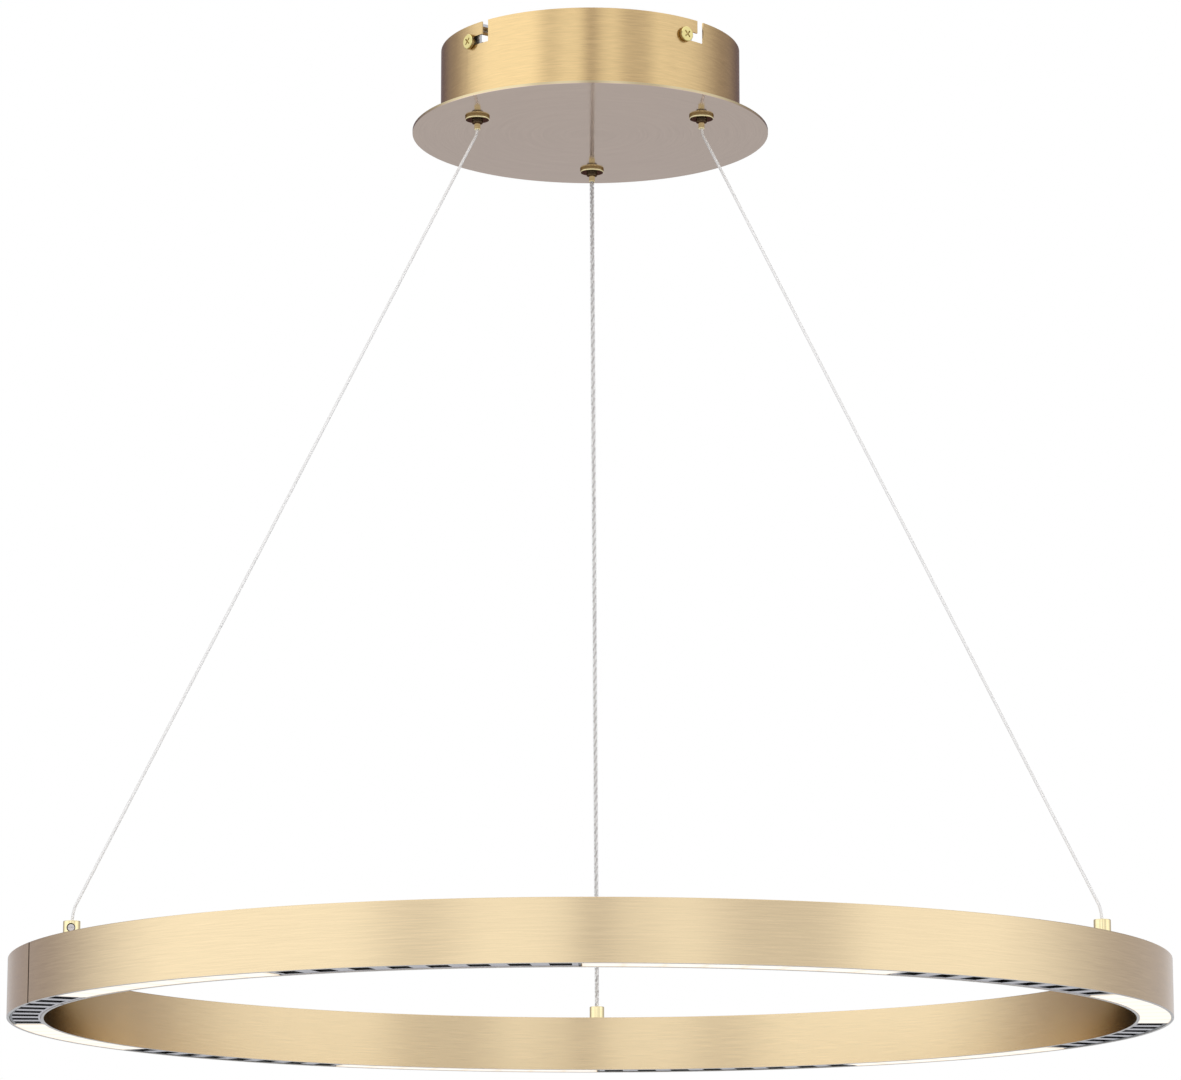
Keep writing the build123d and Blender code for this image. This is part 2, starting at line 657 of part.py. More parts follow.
def grub_screw(side):
    """Slotted grub screw in an anchor's cross hole."""
    outer_end = ANCHOR_DIAMETER / 2 - GRUB_RECESS
    level = ring_top + ANCHOR_HEIGHT / 2
    screw = radial(GRUB_DIAMETER / 2, outer_end - GRUB_LENGTH, outer_end, level)
    screw -= Pos(0, -outer_end, level) * Box(GRUB_DIAMETER, 2 * GRUB_SLOT_WIDTH, GRUB_SLOT_WIDTH)
    return turned(screw, GRUB_BEARINGS[side])


def anchor_nut():
    """Square nut under the channel's roof."""
    nut = Pos(0, 0, roof_bottom - NUT_THICKNESS / 2) * Box(NUT_SQUARE, NUT_SQUARE, NUT_THICKNESS)
    bore = STUD_DIAMETER / 2 + SCREW_CLEARANCE
    return nut - upright(bore, roof_bottom - NUT_THICKNESS - JOIN, ring_top)


# --- Assembly ---------------------------------------------------------------------------------
def placed(shape, radius, bearing):
    """A shape built on the Z axis, moved to a radius and a bearing without turning."""
    x, y = at_bearing(radius, bearing)
    return Pos(x, y, 0) * shape


os.makedirs("parts", exist_ok=True)

write("mounting_bracket", mounting_bracket())
write("ground_screw", ground_screw())
for k in range(SCREW_COUNT):
    write(f"thumb_screw_{k + 1}", turned(thumb_screw(), SCREW_BEARING + k * 360 / SCREW_COUNT))

write("canopy_shell", canopy_shell())
write("canopy_plate", canopy_plate())
write("led_driver", led_driver())
write("driver_screws", *driver_screws())
write("terminal_block", terminal_block())
write("mains_lead", mains_lead())
write("power_tail", power_tail())

sides = list(ANCHOR_BEARINGS)
for side in sides:
    bearing = ANCHOR_BEARINGS[side]
    write(f"gripper_{side}", placed(gripper(side), gripper_pitch_radius, bearing))
    write(f"release_sleeve_{side}", placed(release_sleeve(side), gripper_pitch_radius, bearing))
    write(f"gripper_spring_{side}", placed(gripper_spring(), gripper_pitch_radius, bearing))
    write(f"cable_{side}", turned(cable(side), bearing))
    write(f"cable_anchor_{side}", placed(cable_anchor(side), ring_middle, bearing))
bearings = list(ANCHOR_BEARINGS.values())
write("gripper_nuts", *[placed(gripper_nut(), gripper_pitch_radius, b) for b in bearings])
write("cable_tails", cable_tail("left"), cable_tail("right"))
write("grub_screws", *[placed(grub_screw(s), ring_middle, ANCHOR_BEARINGS[s]) for s in sides])
write("anchor_nuts", *[turned(Pos(0, -ring_middle, 0) * anchor_nut(), b) for b in bearings])

write("ring_channel", ring_channel())
write("ring_harness", ring_harness())
strip_louvre, strip_diffuser, board = louvre(), diffuser(), led_board()
louvre_bearings = [(2 * k - 0.5) * segment_angle for k in range(SEGMENTS // 2)]
diffuser_bearings = [bearing + segment_angle for bearing in louvre_bearings]
for k, bearing in enumerate(louvre_bearings):
    write(f"louvre_{k + 1}", turned(strip_louvre, bearing))
for k, bearing in enumerate(diffuser_bearings):
    write(f"diffuser_{k + 1}", turned(strip_diffuser, bearing))
write("spot_boards", *[turned(board, b) for b in louvre_bearings])
write("ambient_boards", *[turned(board, b) for b in diffuser_bearings])
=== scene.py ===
import json
from math import cos, pi, radians, sin, tau

import bmesh
import bpy
from mathutils import Matrix, Vector


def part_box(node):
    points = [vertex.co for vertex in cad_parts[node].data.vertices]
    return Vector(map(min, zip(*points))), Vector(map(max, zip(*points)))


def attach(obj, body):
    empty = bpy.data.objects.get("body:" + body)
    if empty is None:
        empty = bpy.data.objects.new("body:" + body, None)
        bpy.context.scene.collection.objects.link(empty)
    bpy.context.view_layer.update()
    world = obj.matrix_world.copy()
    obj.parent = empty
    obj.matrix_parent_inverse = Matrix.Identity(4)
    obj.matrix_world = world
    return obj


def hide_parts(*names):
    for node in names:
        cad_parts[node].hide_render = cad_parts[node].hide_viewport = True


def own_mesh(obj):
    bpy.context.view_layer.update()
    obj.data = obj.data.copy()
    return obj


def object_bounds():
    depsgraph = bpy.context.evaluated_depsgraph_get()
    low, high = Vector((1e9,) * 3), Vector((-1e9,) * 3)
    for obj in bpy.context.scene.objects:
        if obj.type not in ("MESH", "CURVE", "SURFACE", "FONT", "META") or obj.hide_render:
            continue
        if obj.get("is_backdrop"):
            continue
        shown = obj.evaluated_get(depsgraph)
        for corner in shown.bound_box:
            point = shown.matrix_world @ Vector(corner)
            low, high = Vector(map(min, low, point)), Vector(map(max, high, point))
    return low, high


# LED ring chandelier, in metres, with the ceiling at Z = 0 and the front towards -Y. A bearing is
# an angle about Z from the front, counter-clockwise seen from above, so +90 degrees is the right.
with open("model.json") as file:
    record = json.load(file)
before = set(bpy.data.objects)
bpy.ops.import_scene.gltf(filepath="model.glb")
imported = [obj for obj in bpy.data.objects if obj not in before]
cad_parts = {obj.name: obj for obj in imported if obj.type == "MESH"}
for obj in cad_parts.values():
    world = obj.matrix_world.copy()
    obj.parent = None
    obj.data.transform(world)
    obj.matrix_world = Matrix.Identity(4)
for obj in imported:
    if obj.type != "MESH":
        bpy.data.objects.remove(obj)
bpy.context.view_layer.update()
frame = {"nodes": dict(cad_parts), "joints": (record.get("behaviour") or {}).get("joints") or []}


# --- Mounting bracket -------------------------------------------------------------------------
# Pressed steel hub with four ribbed arms, zinc plated. It is screwed to the ceiling box, and the
# canopy's thumb screws go into the tabs at the ends of its arms.
class Shade:
    """An output of a material's nodes. Sums and products with it add Math nodes."""

    def __init__(self, tree, socket=None):
        self.tree = tree
        self.socket = socket

    def node(self, kind, settings={}, inputs={}, output=0):
        """A new node, with its settings first and then its sockets' values or links."""
        node = self.tree.nodes.new("ShaderNode" + kind)
        for name, value in settings.items():
            setattr(node, name, value)
        for key, value in inputs.items():
            if isinstance(value, Shade):
                self.tree.links.new(value.socket, node.inputs[key])
            else:
                node.inputs[key].default_value = value
        return Shade(self.tree, node.outputs[output])

    def output(self, name):
        """Another output of the same node."""
        return Shade(self.tree, self.socket.node.outputs[name])

    def maths(self, operation, *values):
        """A Math node's result."""
        return self.node("Math", {"operation": operation}, dict(enumerate(values)))

    def __add__(self, other):
        return self.maths("ADD", self, other)

    def __sub__(self, other):
        return self.maths("SUBTRACT", self, other)

    def __rsub__(self, other):
        return self.maths("SUBTRACT", other, self)

    def __mul__(self, other):
        return self.maths("MULTIPLY", self, other)

    def __truediv__(self, other):
        return self.maths("DIVIDE", self, other)

    __radd__, __rmul__ = __add__, __mul__


def finish(name, settings):
    """A material with the constant sockets of its Principled shader set, and its node maker."""
    material = bpy.data.materials.new(name)
    material.use_nodes = True
    shader = material.node_tree.nodes["Principled BSDF"]
    for socket, value in settings.items():
        shader.inputs[socket].default_value = value
    return material, Shade(material.node_tree)


def feed(material, links):
    """Links what changes over the surface to the Principled shader."""
    shader = material.node_tree.nodes["Principled BSDF"]
    for socket, shade in links.items():
        material.node_tree.links.new(shade.socket, shader.inputs[socket])


def mixed(factor, one, two):
    """A colour between two, by a factor from 0 to 1."""
    return factor.node("Mix", {"data_type": "RGBA"}, {0: factor, 6: one, 7: two}, 2)


def noise(shade, vector, scale, detail=2.0):
    """Soft noise from 0 to 1 at a scale per metre."""
    return shade.node("TexNoise", {}, {"Vector": vector, "Scale": scale, "Detail": detail})


def bumped(height, strength, distance):
    """A normal from a height map."""
    return height.node("Bump", {}, {"Height": height, "Strength": strength, "Distance": distance})


def dress(material, *nodes):
    """Gives CAD nodes a material."""
    for name in nodes:
        for slot in frame["nodes"][name].material_slots:
            slot.material = material


zinc, shade = finish("zinc_plated_steel", {"Metallic": 1.0})
place = shade.node("TexCoord", output="Object")
spangle = noise(shade, place, 260.0, 4.0)
clouds = noise(shade, place, 38.0, 3.0)
feed(zinc, {
    "Base Color": mixed(spangle, (0.56, 0.57, 0.58, 1), (0.76, 0.77, 0.76, 1)),
    "Roughness": 0.26 + 0.2 * clouds,
    "Normal": bumped(spangle, 0.12, 0.0002),
})
dress(zinc, "mounting_bracket", "driver_screws", "gripper_nuts", "anchor_nuts")

# Earthing screw under the bracket, of green passivated steel.
green, shade = finish("green_passivated_screw", {"Metallic": 0.8})
place = shade.node("TexCoord", output="Object")
feed(green, {
    "Base Color": mixed(noise(shade, place, 400.0), (0.05, 0.30, 0.10, 1), (0.10, 0.42, 0.16, 1)),
    "Roughness": 0.3 + 0.15 * noise(shade, place, 900.0),
})
dress(green, "ground_screw")


# --- Canopy -----------------------------------------------------------------------------------
# Drawn steel shell with L-shaped slots at its top edge, welded to a wider round plate. Both are
# plated in brass colour and brushed round and round. The plate's paler colour underneath is a
# painted reflection, and its paler rim a painted highlight.
CANOPY_COLOUR = (0.83, 0.595, 0.285)
CANOPY_EDGE_TINT = (0.70, 0.70, 0.74, 1)
# The plate underside's paler, pinker colour is a painted reflection.
PLATE_UNDER_REFLECTION = (0.775, 0.60, 0.455)
# The plate rim's paler colour is a painted highlight along its edge.
PLATE_RIM_HIGHLIGHT = (0.76, 0.63, 0.37)
PLATE_SKIN = 0.0004
RIM_GLOSS = 1.0
UNDER_GLOSS = 0.45
# Brushed streaks: contrast, and height and length in metres.
SHELL_STREAKS = (0.15, 0.0006, 0.012)
PLATE_STREAKS = (0.09, 0.0008, 0.030)
BRUSHED_ROUGHNESS = 0.15
STREAK_ROUGHNESS = 0.12
SMUDGE_ROUGHNESS = 0.05
SMUDGES_PER_METRE = 14.0


def brushed_round(name, colour, streaks, edge_tint, others=()):
    """Metal brushed round the Z axis: level streaks, and reflections that spread up and down.
    The edge tint colours what it mirrors at grazing angles. Others are (radius or level,
    comparison, limit, colour, share of the roughness)."""
    contrast, streak_height, streak_length = streaks
    material, shade = finish(name, {
        "Metallic": 1.0,
        "Anisotropic": 0.75,
        "Anisotropic Rotation": 0.25,
        "Specular Tint": edge_tint,
    })
    place = shade.node("TexCoord", output="Object")
    x = shade.node("SeparateXYZ", {}, {0: place})
    y, z = x.output(1), x.output(2)
    radius = shade.maths("SQRT", x * x + y * y)
    arc = shade.maths("ARCTAN2", x, 0 - y) * radius
    fine = shade.node("CombineXYZ", {}, {
        0: arc / streak_length,
        1: z / streak_height,
        2: radius / streak_height,
    })
    lines = noise(shade, fine, 1.0, 3.0)
    smudge = noise(shade, place, SMUDGES_PER_METRE)

    def streaked(base):
        """A colour with the streaks in it."""
        dark = [(1 - contrast) * c for c in base]
        light = [(1 + contrast) * c for c in base]
        return mixed(lines, (*dark, 1), (*light, 1))

    tint = streaked(colour)
    roughness = BRUSHED_ROUGHNESS + STREAK_ROUGHNESS * lines + SMUDGE_ROUGHNESS * smudge
    for measure, comparison, limit, other, gloss in others:
        there = shade.maths(comparison, z if measure == "level" else radius, limit)
        tint = mixed(there, tint, streaked(other))
        roughness = roughness * (1 - (1 - gloss) * there)
    feed(material, {
        "Base Color": tint,
        "Roughness": roughness,
        "Normal": bumped(lines, 0.018, 0.0001),
    })
    return material


shell_metal = brushed_round("canopy_brushed_brass", CANOPY_COLOUR, SHELL_STREAKS, CANOPY_EDGE_TINT)
dress(shell_metal, "canopy_shell")
plate_low, plate_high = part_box("canopy_plate")
plate_bottom = plate_low.z
plate_metal = brushed_round("plate_brushed_brass", CANOPY_COLOUR, PLATE_STREAKS, CANOPY_EDGE_TINT, [
    ("radius", "GREATER_THAN", plate_high.x - PLATE_SKIN, PLATE_RIM_HIGHLIGHT, RIM_GLOSS),
    ("level", "LESS_THAN", plate_bottom + PLATE_SKIN, PLATE_UNDER_REFLECTION, UNDER_GLOSS),
])
dress(plate_metal, "canopy_plate")


def piece(name, bm, materials, smooth_angle=35.0):
    """An object from a mesh, smooth except at its sharp edges, with its large faces kept flat."""
    bmesh.ops.recalc_face_normals(bm, faces=bm.faces)
    for edge in bm.edges:
        edge.smooth = edge.calc_face_angle(0.0) < radians(smooth_angle)
    for face in bm.faces:
        face.smooth = True
    mesh = bpy.data.meshes.new(name)
    bm.to_mesh(mesh)
    bm.free()
    for material in materials:
        mesh.materials.append(material)
    made = bpy.data.objects.new(name, mesh)
    bpy.context.scene.collection.objects.link(made)
    flat = made.modifiers.new("even_shading", "WEIGHTED_NORMAL")
    flat.keep_sharp = True
    return made


def carried(bm, sections, closed):
    """Faces between sections of equal outlines, with caps at the ends of an open run."""
    rings = [[bm.verts.new(point) for point in section] for section in sections]
    pairs = list(zip(rings, rings[1:]))
    if closed:
        pairs.append((rings[-1], rings[0]))
    else:
        bm.faces.new(rings[0])
        bm.faces.new(reversed(rings[-1]))
    for one, two in pairs:
        for k in range(len(one)):
            bm.faces.new((one[k - 1], one[k], two[k], two[k - 1]))


def at(bearing, radius, level):
    """The point at a bearing in degrees, a radius and a level."""
    return Vector((radius * sin(radians(bearing)), -radius * cos(radians(bearing)), level))


def rounded(corners, steps=3):
    """A closed outline from (across, up, corner radius), with its corners turned into curves."""
    points = []
    for k, (across, up, radius) in enumerate(corners):
        corner = Vector((across, up))
        ends = []
        for other in (corners[k - 1], corners[(k + 1) % len(corners)]):
            ends.append(corner + (Vector(other[:2]) - corner).normalized() * radius)
        if radius == 0:
            points.append(tuple(corner))
            continue
        for step in range(steps + 1):
            t = step / steps
            bend = ends[0] * (1 - t) ** 2 + corner * (2 * t * (1 - t)) + ends[1] * t**2
            points.append(tuple(bend))
    return points


# Points closer together than this are made one.
WELD = 1e-7


def lathe(bm, outline, steps=96):
    """A solid turned about the Z axis from an outline of (radius, level)."""
    sections = [[at(360 * k / steps, r, z) for r, z in outline] for k in range(steps)]
    carried(bm, sections, closed=True)
    bmesh.ops.remove_doubles(bm, verts=bm.verts, dist=WELD)


def box_mesh(bm, low, high):
    """A box between two corners."""
    for vert in bmesh.ops.create_cube(bm, size=1.0)["verts"]:
        vert.co = Vector([a + (b - a) * (c + 0.5) for a, b, c in zip(low, high, vert.co)])


def mark(bm, index, test):
    """Gives faces another of the piece's materials, where their centre passes a test."""
    for face in bm.faces:
        if test(face.calc_center_median()):
            face.material_index = index


def cut(made, cutter_mesh):
    """Takes a mesh away from an object, for good. The cut faces get its last material."""
    cutter_data = bpy.data.meshes.new("cutter")
    bmesh.ops.recalc_face_normals(cutter_mesh, faces=cutter_mesh.faces)
    for face in cutter_mesh.faces:
        face.material_index = len(made.data.materials) - 1
    cutter_mesh.to_mesh(cutter_data)
    cutter_mesh.free()
    cutter = bpy.data.objects.new("cutter", cutter_data)
    bpy.context.scene.collection.objects.link(cutter)
    boolean = made.modifiers.new("cut", "BOOLEAN")
    boolean.object = cutter
    boolean.solver = "EXACT"
    made.modifiers.remove(made.modifiers["even_shading"])
    shapes = bpy.context.evaluated_depsgraph_get()
    mesh = bpy.data.meshes.new_from_object(made.evaluated_get(shapes))
    made.modifiers.clear()
    made.data = mesh
    bpy.data.objects.remove(cutter)
    made.modifiers.new("even_shading", "WEIGHTED_NORMAL").keep_sharp = True


# --- Thumb screws -----------------------------------------------------------------------------
# Four turned brass screws with knurled heads and cross recesses. The canopy's slots hang on them.
SCREW_HEAD_THICKNESS = 0.0028
SCREW_HEAD_RADIUS = 0.00545
SCREW_KNURLS = 40
KNURL_DEPTH = 0.00022
SCREW_EDGE = 0.0004
HEAD_CHAMFER = 1.5 * SCREW_EDGE
SCREW_SHANK_RADIUS = 0.00195
SCREW_SHANK_LENGTH = 0.018
CROSS_REACH = 0.0030
CROSS_WIDTH = 0.0011
CROSS_DEPTH = 0.0007
TURNING_SCALE = (120.0, 120.0, 2600.0)
SHADE_BRASS_EDGE_TINT = (0.30, 0.21, 0.13, 1)


def polished(name, dark, light):
    """Turned and polished brass, with what is left of the turning lines."""
    material, shade = finish(name, {"Metallic": 1.0})
    place = shade.node("TexCoord", output="Object")
    lines = noise(shade, shade.node("Mapping", {}, {0: place, 3: TURNING_SCALE}), 1.0)
    feed(material, {
        "Base Color": mixed(lines, (*dark, 1), (*light, 1)),
        "Roughness": 0.07 + 0.08 * lines,
        "Normal": bumped(lines, 0.05, 0.00005),
    })
    return material


def shade_painted_brass(name, dark, light, roughness):
    """Darker brass with an uneven mottle, used as painted shade on faces meant to look shaded."""
    material, shade = finish(name, {"Metallic": 0.9, "Specular Tint": SHADE_BRASS_EDGE_TINT})
    shade_mottle = noise(shade, shade.node("TexCoord", output="Object"), 900.0)
    feed(material, {
        "Base Color": mixed(shade_mottle, (*dark, 1), (*light, 1)),
        "Roughness": roughness + 0.1 * shade_mottle,
    })
    return material


brass = polished("polished_brass", (0.92, 0.76, 0.38), (0.99, 0.87, 0.54))
screw_brass = polished("screw_brass", (0.95, 0.78, 0.28), (1.0, 0.90, 0.42))
# These three darker brass colours are painted shade: mid brown for the screws' cut crosses, brown for
# shaded sides, and near black for hollows and the grippers' necks.
cross_shade = shade_painted_brass("cross_painted_shade", (0.50, 0.38, 0.14), (0.72, 0.57, 0.24), 0.18)
shade_brass = shade_painted_brass("painted_shade_brass", (0.34, 0.25, 0.11), (0.54, 0.41, 0.20), 0.18)
recess = shade_painted_brass("painted_shade_recess", (0.07, 0.05, 0.03), (0.17, 0.12, 0.07), 0.22)

head_sections = []
for k in range(2 * SCREW_KNURLS):
    rim = SCREW_HEAD_RADIUS - KNURL_DEPTH * (k % 2)
    outline = [
        (0, 0),
        (SCREW_HEAD_RADIUS - HEAD_CHAMFER, 0),
        (rim, SCREW_EDGE),
        (rim, SCREW_HEAD_THICKNESS - SCREW_EDGE),
        (SCREW_HEAD_RADIUS - HEAD_CHAMFER, SCREW_HEAD_THICKNESS),
        (0, SCREW_HEAD_THICKNESS),
    ]
    head_sections.append([at(180 * k / SCREW_KNURLS, r, z) for r, z in outline])

for k in range(1, 5):
    node = f"thumb_screw_{k}"
    low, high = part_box(node)
    hinge = next(j for j in frame["joints"] if j["child"] == node)
    outward = Vector(hinge["axis"]).normalized()
    level = (low.z + high.z) / 2
    # The head's face, worked out from the box of a disc that stands at a slant to the X axis.
    head_out = (max(abs(low.x), abs(high.x)) - SCREW_HEAD_RADIUS * abs(outward.y)) / abs(outward.x)
    bm = bmesh.new()
    carried(bm, head_sections, closed=True)
    bmesh.ops.remove_doubles(bm, verts=bm.verts, dist=WELD)
    shank = rounded([
        (0, -SCREW_SHANK_LENGTH, 0),
        (SCREW_SHANK_RADIUS, -SCREW_SHANK_LENGTH, SCREW_EDGE),
        (SCREW_SHANK_RADIUS, SCREW_EDGE, 0),
        (0, SCREW_EDGE, 0),
    ])
    lathe(bm, shank, steps=32)
    # Painted shade: the knurled side, the underside and the shank get the brown brass, and the cut cross
    # gets the mid brown brass.
    mark(bm, 1, lambda c: c.z < SCREW_HEAD_THICKNESS - SCREW_EDGE)
    made = piece(f"thumb_screw_head_{k}", bm, [screw_brass, shade_brass, cross_shade])
    for x, y in ((CROSS_REACH, CROSS_WIDTH / 2), (CROSS_WIDTH / 2, CROSS_REACH)):
        cross = bmesh.new()
        box_mesh(cross, (-x, -y, SCREW_HEAD_THICKNESS - CROSS_DEPTH),
                 (x, y, 2 * SCREW_HEAD_THICKNESS))
        cut(made, cross)
    turn = outward.to_track_quat("Z", "Y").to_matrix().to_4x4()
    base = outward * (head_out - SCREW_HEAD_THICKNESS) + Vector((0, 0, level))
    made.data.transform(Matrix.Translation(base) @ turn @ Matrix.Rotation(pi / 4, 4, "Z"))
    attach(made, node)
    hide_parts(node)


# --- Driver, terminal block and leads ---------------------------------------------------------
# Moulded white driver case screwed to the plate's bosses, with the supply's terminal block in
# front of it and a sheathed lead between them.
LEAD_EDGE = 0.0004


def moulded(name, light, dark, roughness):
    """Moulded plastic with a fine spark-eroded grain."""
    material, shade = finish(name, {})
    place = shade.node("TexCoord", output="Object")
    grain = noise(shade, place, 1800.0)
    broad = noise(shade, place, 30.0)
    feed(material, {
        "Base Color": mixed(broad, dark, light),
        "Roughness": roughness + 0.12 * grain,
        "Normal": bumped(grain, 0.15, 0.00008),
    })
    return material


driver_plastic = moulded("driver_case_plastic", (0.80, 0.80, 0.79, 1), (0.74, 0.74, 0.73, 1), 0.42)
terminal_plastic = moulded("terminal_plastic", (0.72, 0.71, 0.66, 1), (0.66, 0.65, 0.60, 1), 0.35)
sheath_plastic = moulded("white_lead_sheath", (0.78, 0.78, 0.76, 1), (0.70, 0.70, 0.68, 1), 0.5)
dress(driver_plastic, "led_driver")
dress(terminal_plastic, "terminal_block")
dress(sheath_plastic, "ring_harness")

lead_low, lead_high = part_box("mains_lead")
lead_radius = (lead_high.x - lead_low.x) / 2
lead_length = lead_high.y - lead_low.y
lead_end = Matrix.Translation((0, lead_high.y, (lead_low.z + lead_high.z) / 2))
bm = bmesh.new()
lathe(bm, rounded([
    (0, 0, 0),
    (lead_radius, 0, LEAD_EDGE),
    (lead_radius, lead_length, LEAD_EDGE),
    (0, lead_length, 0),
]), steps=32)
made = piece("mains_lead_sheath", bm, [sheath_plastic])
made.data.transform(lead_end @ Matrix.Rotation(pi / 2, 4, "X"))
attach(made, "canopy")
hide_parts("mains_lead")


# --- Cable grippers ---------------------------------------------------------------------------
# Turned brass bodies whose flange sits under the plate. A sleeve sticks out below each, held down
# by a coil spring in the body's chamber, and pushing it up frees the cable.
FLANGE_RADIUS = 0.0088
FLANGE_THICKNESS = 0.0022
FLANGE_ROUND = 0.0009
NECK_RADIUS = 0.0039
BARREL_RADIUS = 0.005
BARREL_HEIGHT = 0.014
THREAD_PITCH = 0.001
THREAD_DEPTH = 0.0003
GRIPPER_EDGE = 0.0005
NECK_FILLET = 0.0003
FLANGE_TOP_EDGE = 0.0001
FINE_EDGE = 0.0002
SLEEVE_RADIUS = 0.00225
SLEEVE_COLLAR_RADIUS = 0.0031
SLEEVE_TIP_ROUND = 0.0005
SLEEVE_MOUTH_ROUND = 0.0003
CHAMBER_CEILING = 0.002
SLEEVE_GAP = 0.0001
SPRING_WIRE = 0.00025
SPRING_TURNS = 6
SPRING_STEPS = 20
WIRE_SIDES = 8
BORE_RADIUS = {"left": 0.0012, "right": 0.0012, "rear": 0.0017}
BEARING = {"left": -60.0, "right": 60.0, "rear": 180.0}

for side, bore in BORE_RADIUS.items():
    low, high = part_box(f"gripper_{side}")
    centre = (low + high) / 2
    flange_bottom = plate_bottom - FLANGE_THICKNESS
    top = plate_bottom + BARREL_HEIGHT
    hole = SLEEVE_RADIUS + SLEEVE_GAP
    chamber = SLEEVE_COLLAR_RADIUS + SLEEVE_GAP
    chamber_top = top - CHAMBER_CEILING
    outline = rounded([
        (hole, low.z, FINE_EDGE),
        (NECK_RADIUS, low.z, GRIPPER_EDGE),
        (NECK_RADIUS, flange_bottom, NECK_FILLET),
        (FLANGE_RADIUS, flange_bottom, FLANGE_ROUND),
        (FLANGE_RADIUS, plate_bottom, FLANGE_TOP_EDGE),
        (BARREL_RADIUS, plate_bottom, 0),
    ])
    turns = int((BARREL_HEIGHT - 2 * THREAD_PITCH) / THREAD_PITCH)
    for k in range(turns):
        root = plate_bottom + (k + 1) * THREAD_PITCH
        outline += [(BARREL_RADIUS - THREAD_DEPTH, root), (BARREL_RADIUS, root + THREAD_PITCH / 2)]
    outline += rounded([
        (BARREL_RADIUS, top, GRIPPER_EDGE),
        (bore, top, FINE_EDGE),
        (bore, chamber_top, 0),
        (chamber, chamber_top, 0),
        (chamber, flange_bottom, 0),
        (hole, flange_bottom, 0),
    ])
    bm = bmesh.new()
    lathe(bm, outline)
    # Painted shade and highlight: the flange's rim and top and the barrel get the brown brass, and the
    # neck and the flange's underside get the near-black brass. Only the flange's rounded lower edge
    # keeps bright polished brass, as a painted highlight.
    mark(bm, 1, lambda c: c.z > flange_bottom + FLANGE_ROUND)
    mark(bm, 2, lambda c: c.z < flange_bottom + FLANGE_ROUND / 8)
    made = piece(f"gripper_body_{side}", bm, [brass, shade_brass, recess])
    made.data.transform(Matrix.Translation((centre.x, centre.y, 0)))
    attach(made, "canopy")
    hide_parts(f"gripper_{side}")

    low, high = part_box(f"release_sleeve_{side}")
    bm = bmesh.new()
    lathe(bm, rounded([
        (bore, low.z, SLEEVE_MOUTH_ROUND),
        (SLEEVE_RADIUS, low.z, SLEEVE_TIP_ROUND),
        (SLEEVE_RADIUS, flange_bottom, 0),
        (SLEEVE_COLLAR_RADIUS, flange_bottom, 0),
        (SLEEVE_COLLAR_RADIUS, high.z, FINE_EDGE),
        (bore, high.z, FINE_EDGE),
    ]), steps=64)
    made = piece(f"sleeve_{side}", bm, [brass])
    made.data.transform(Matrix.Translation((centre.x, centre.y, 0)))
    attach(made, f"sleeve_{side}")
    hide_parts(f"release_sleeve_{side}")

    spring_low, spring_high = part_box(f"gripper_spring_{side}")
    wire_path = (spring_high.x - spring_low.x) / 2 - SPRING_WIRE
    first, last = spring_low.z + SPRING_WIRE, spring_high.z - SPRING_WIRE
    wire_angles = [tau * m / WIRE_SIDES for m in range(WIRE_SIDES)]
    coil = []
    for k in range(SPRING_TURNS * SPRING_STEPS + 1):
        level = first + (last - first) * k / SPRING_TURNS / SPRING_STEPS
        coil.append([
            at(360 * k / SPRING_STEPS, wire_path + SPRING_WIRE * cos(n), level + SPRING_WIRE * sin(n))
            for n in wire_angles
        ])
    bm = bmesh.new()
    carried(bm, coil, closed=False)
    made = piece(f"release_spring_{side}", bm, [zinc], smooth_angle=60.0)
    made.data.transform(Matrix.Translation((centre.x, centre.y, 0)))
    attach(made, "canopy")
    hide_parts(f"gripper_spring_{side}")
    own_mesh(made)


# --- Cables -----------------------------------------------------------------------------------
# Two fine stranded steel cables at the sides and a clear power cable at the rear, drawn tight by
# the ring's weight. Above the grippers the steel ones are cut off and the power cable turns to the
# driver.
CABLE_RADIUS = {"left": 0.0010, "right": 0.0010, "rear": 0.0016}
GRIP_RADIUS = 0.093
ANCHOR_RADIUS = 0.39375
CABLE_TOP = -0.0668
EXIT_BEND = -0.0738
ANCHOR_BEND = -0.653
CABLE_END = -0.664
STRANDS = 6
STRAND_LAY = 0.009
CORE_LAY = 0.0065
CORE_RADIUS = 0.0006
CORE_OFFSET = 1.05 * CORE_RADIUS
CORE_SIDES = 8
STEEL_CABLE_STEPS = 60
POWER_CABLE_STEPS = 300
TAIL_STEPS = 40
TAIL_TOP = -0.033
TAIL_SIDES = 12
TAIL_CHAMFER = 0.0003
TAIL_END_SHARE = 0.85
TAIL_START_DEPTH = 0.002
TAIL_SOLID_RADIUS = 0.0012

steel, shade = finish("stranded_steel", {
    "Metallic": 0.2,
    "Coat Weight": 0.25,
    "Coat Roughness": 0.2,
})
wound = shade.node("TexCoord", output="UV")
across = shade.node("SeparateXYZ", {}, {0: wound})
strand = (STRANDS * across + across.output(1) / STRAND_LAY) * tau
ridge = shade.maths("SINE", strand)
# The base colour is a little darker in the grooves between strands: painted shade.
feed(steel, {
    "Base Color": mixed(0.5 + 0.5 * ridge, (0.75, 0.74, 0.73, 1), (0.80, 0.79, 0.78, 1)),
    "Roughness": 0.40 + 0.05 * ridge,
    "Normal": bumped(ridge, 0.01, 0.00002),
})

clear, shade = finish("clear_cable_sheath", {"Transmission Weight": 1.0, "IOR": 1.35})
place = shade.node("TexCoord", output="Object")
haze = noise(shade, place, 60.0)
feed(clear, {
    "Base Color": mixed(haze, (0.93, 0.93, 0.94, 1), (0.99, 0.99, 0.99, 1)),
    "Roughness": 0.06 + 0.1 * haze,
})


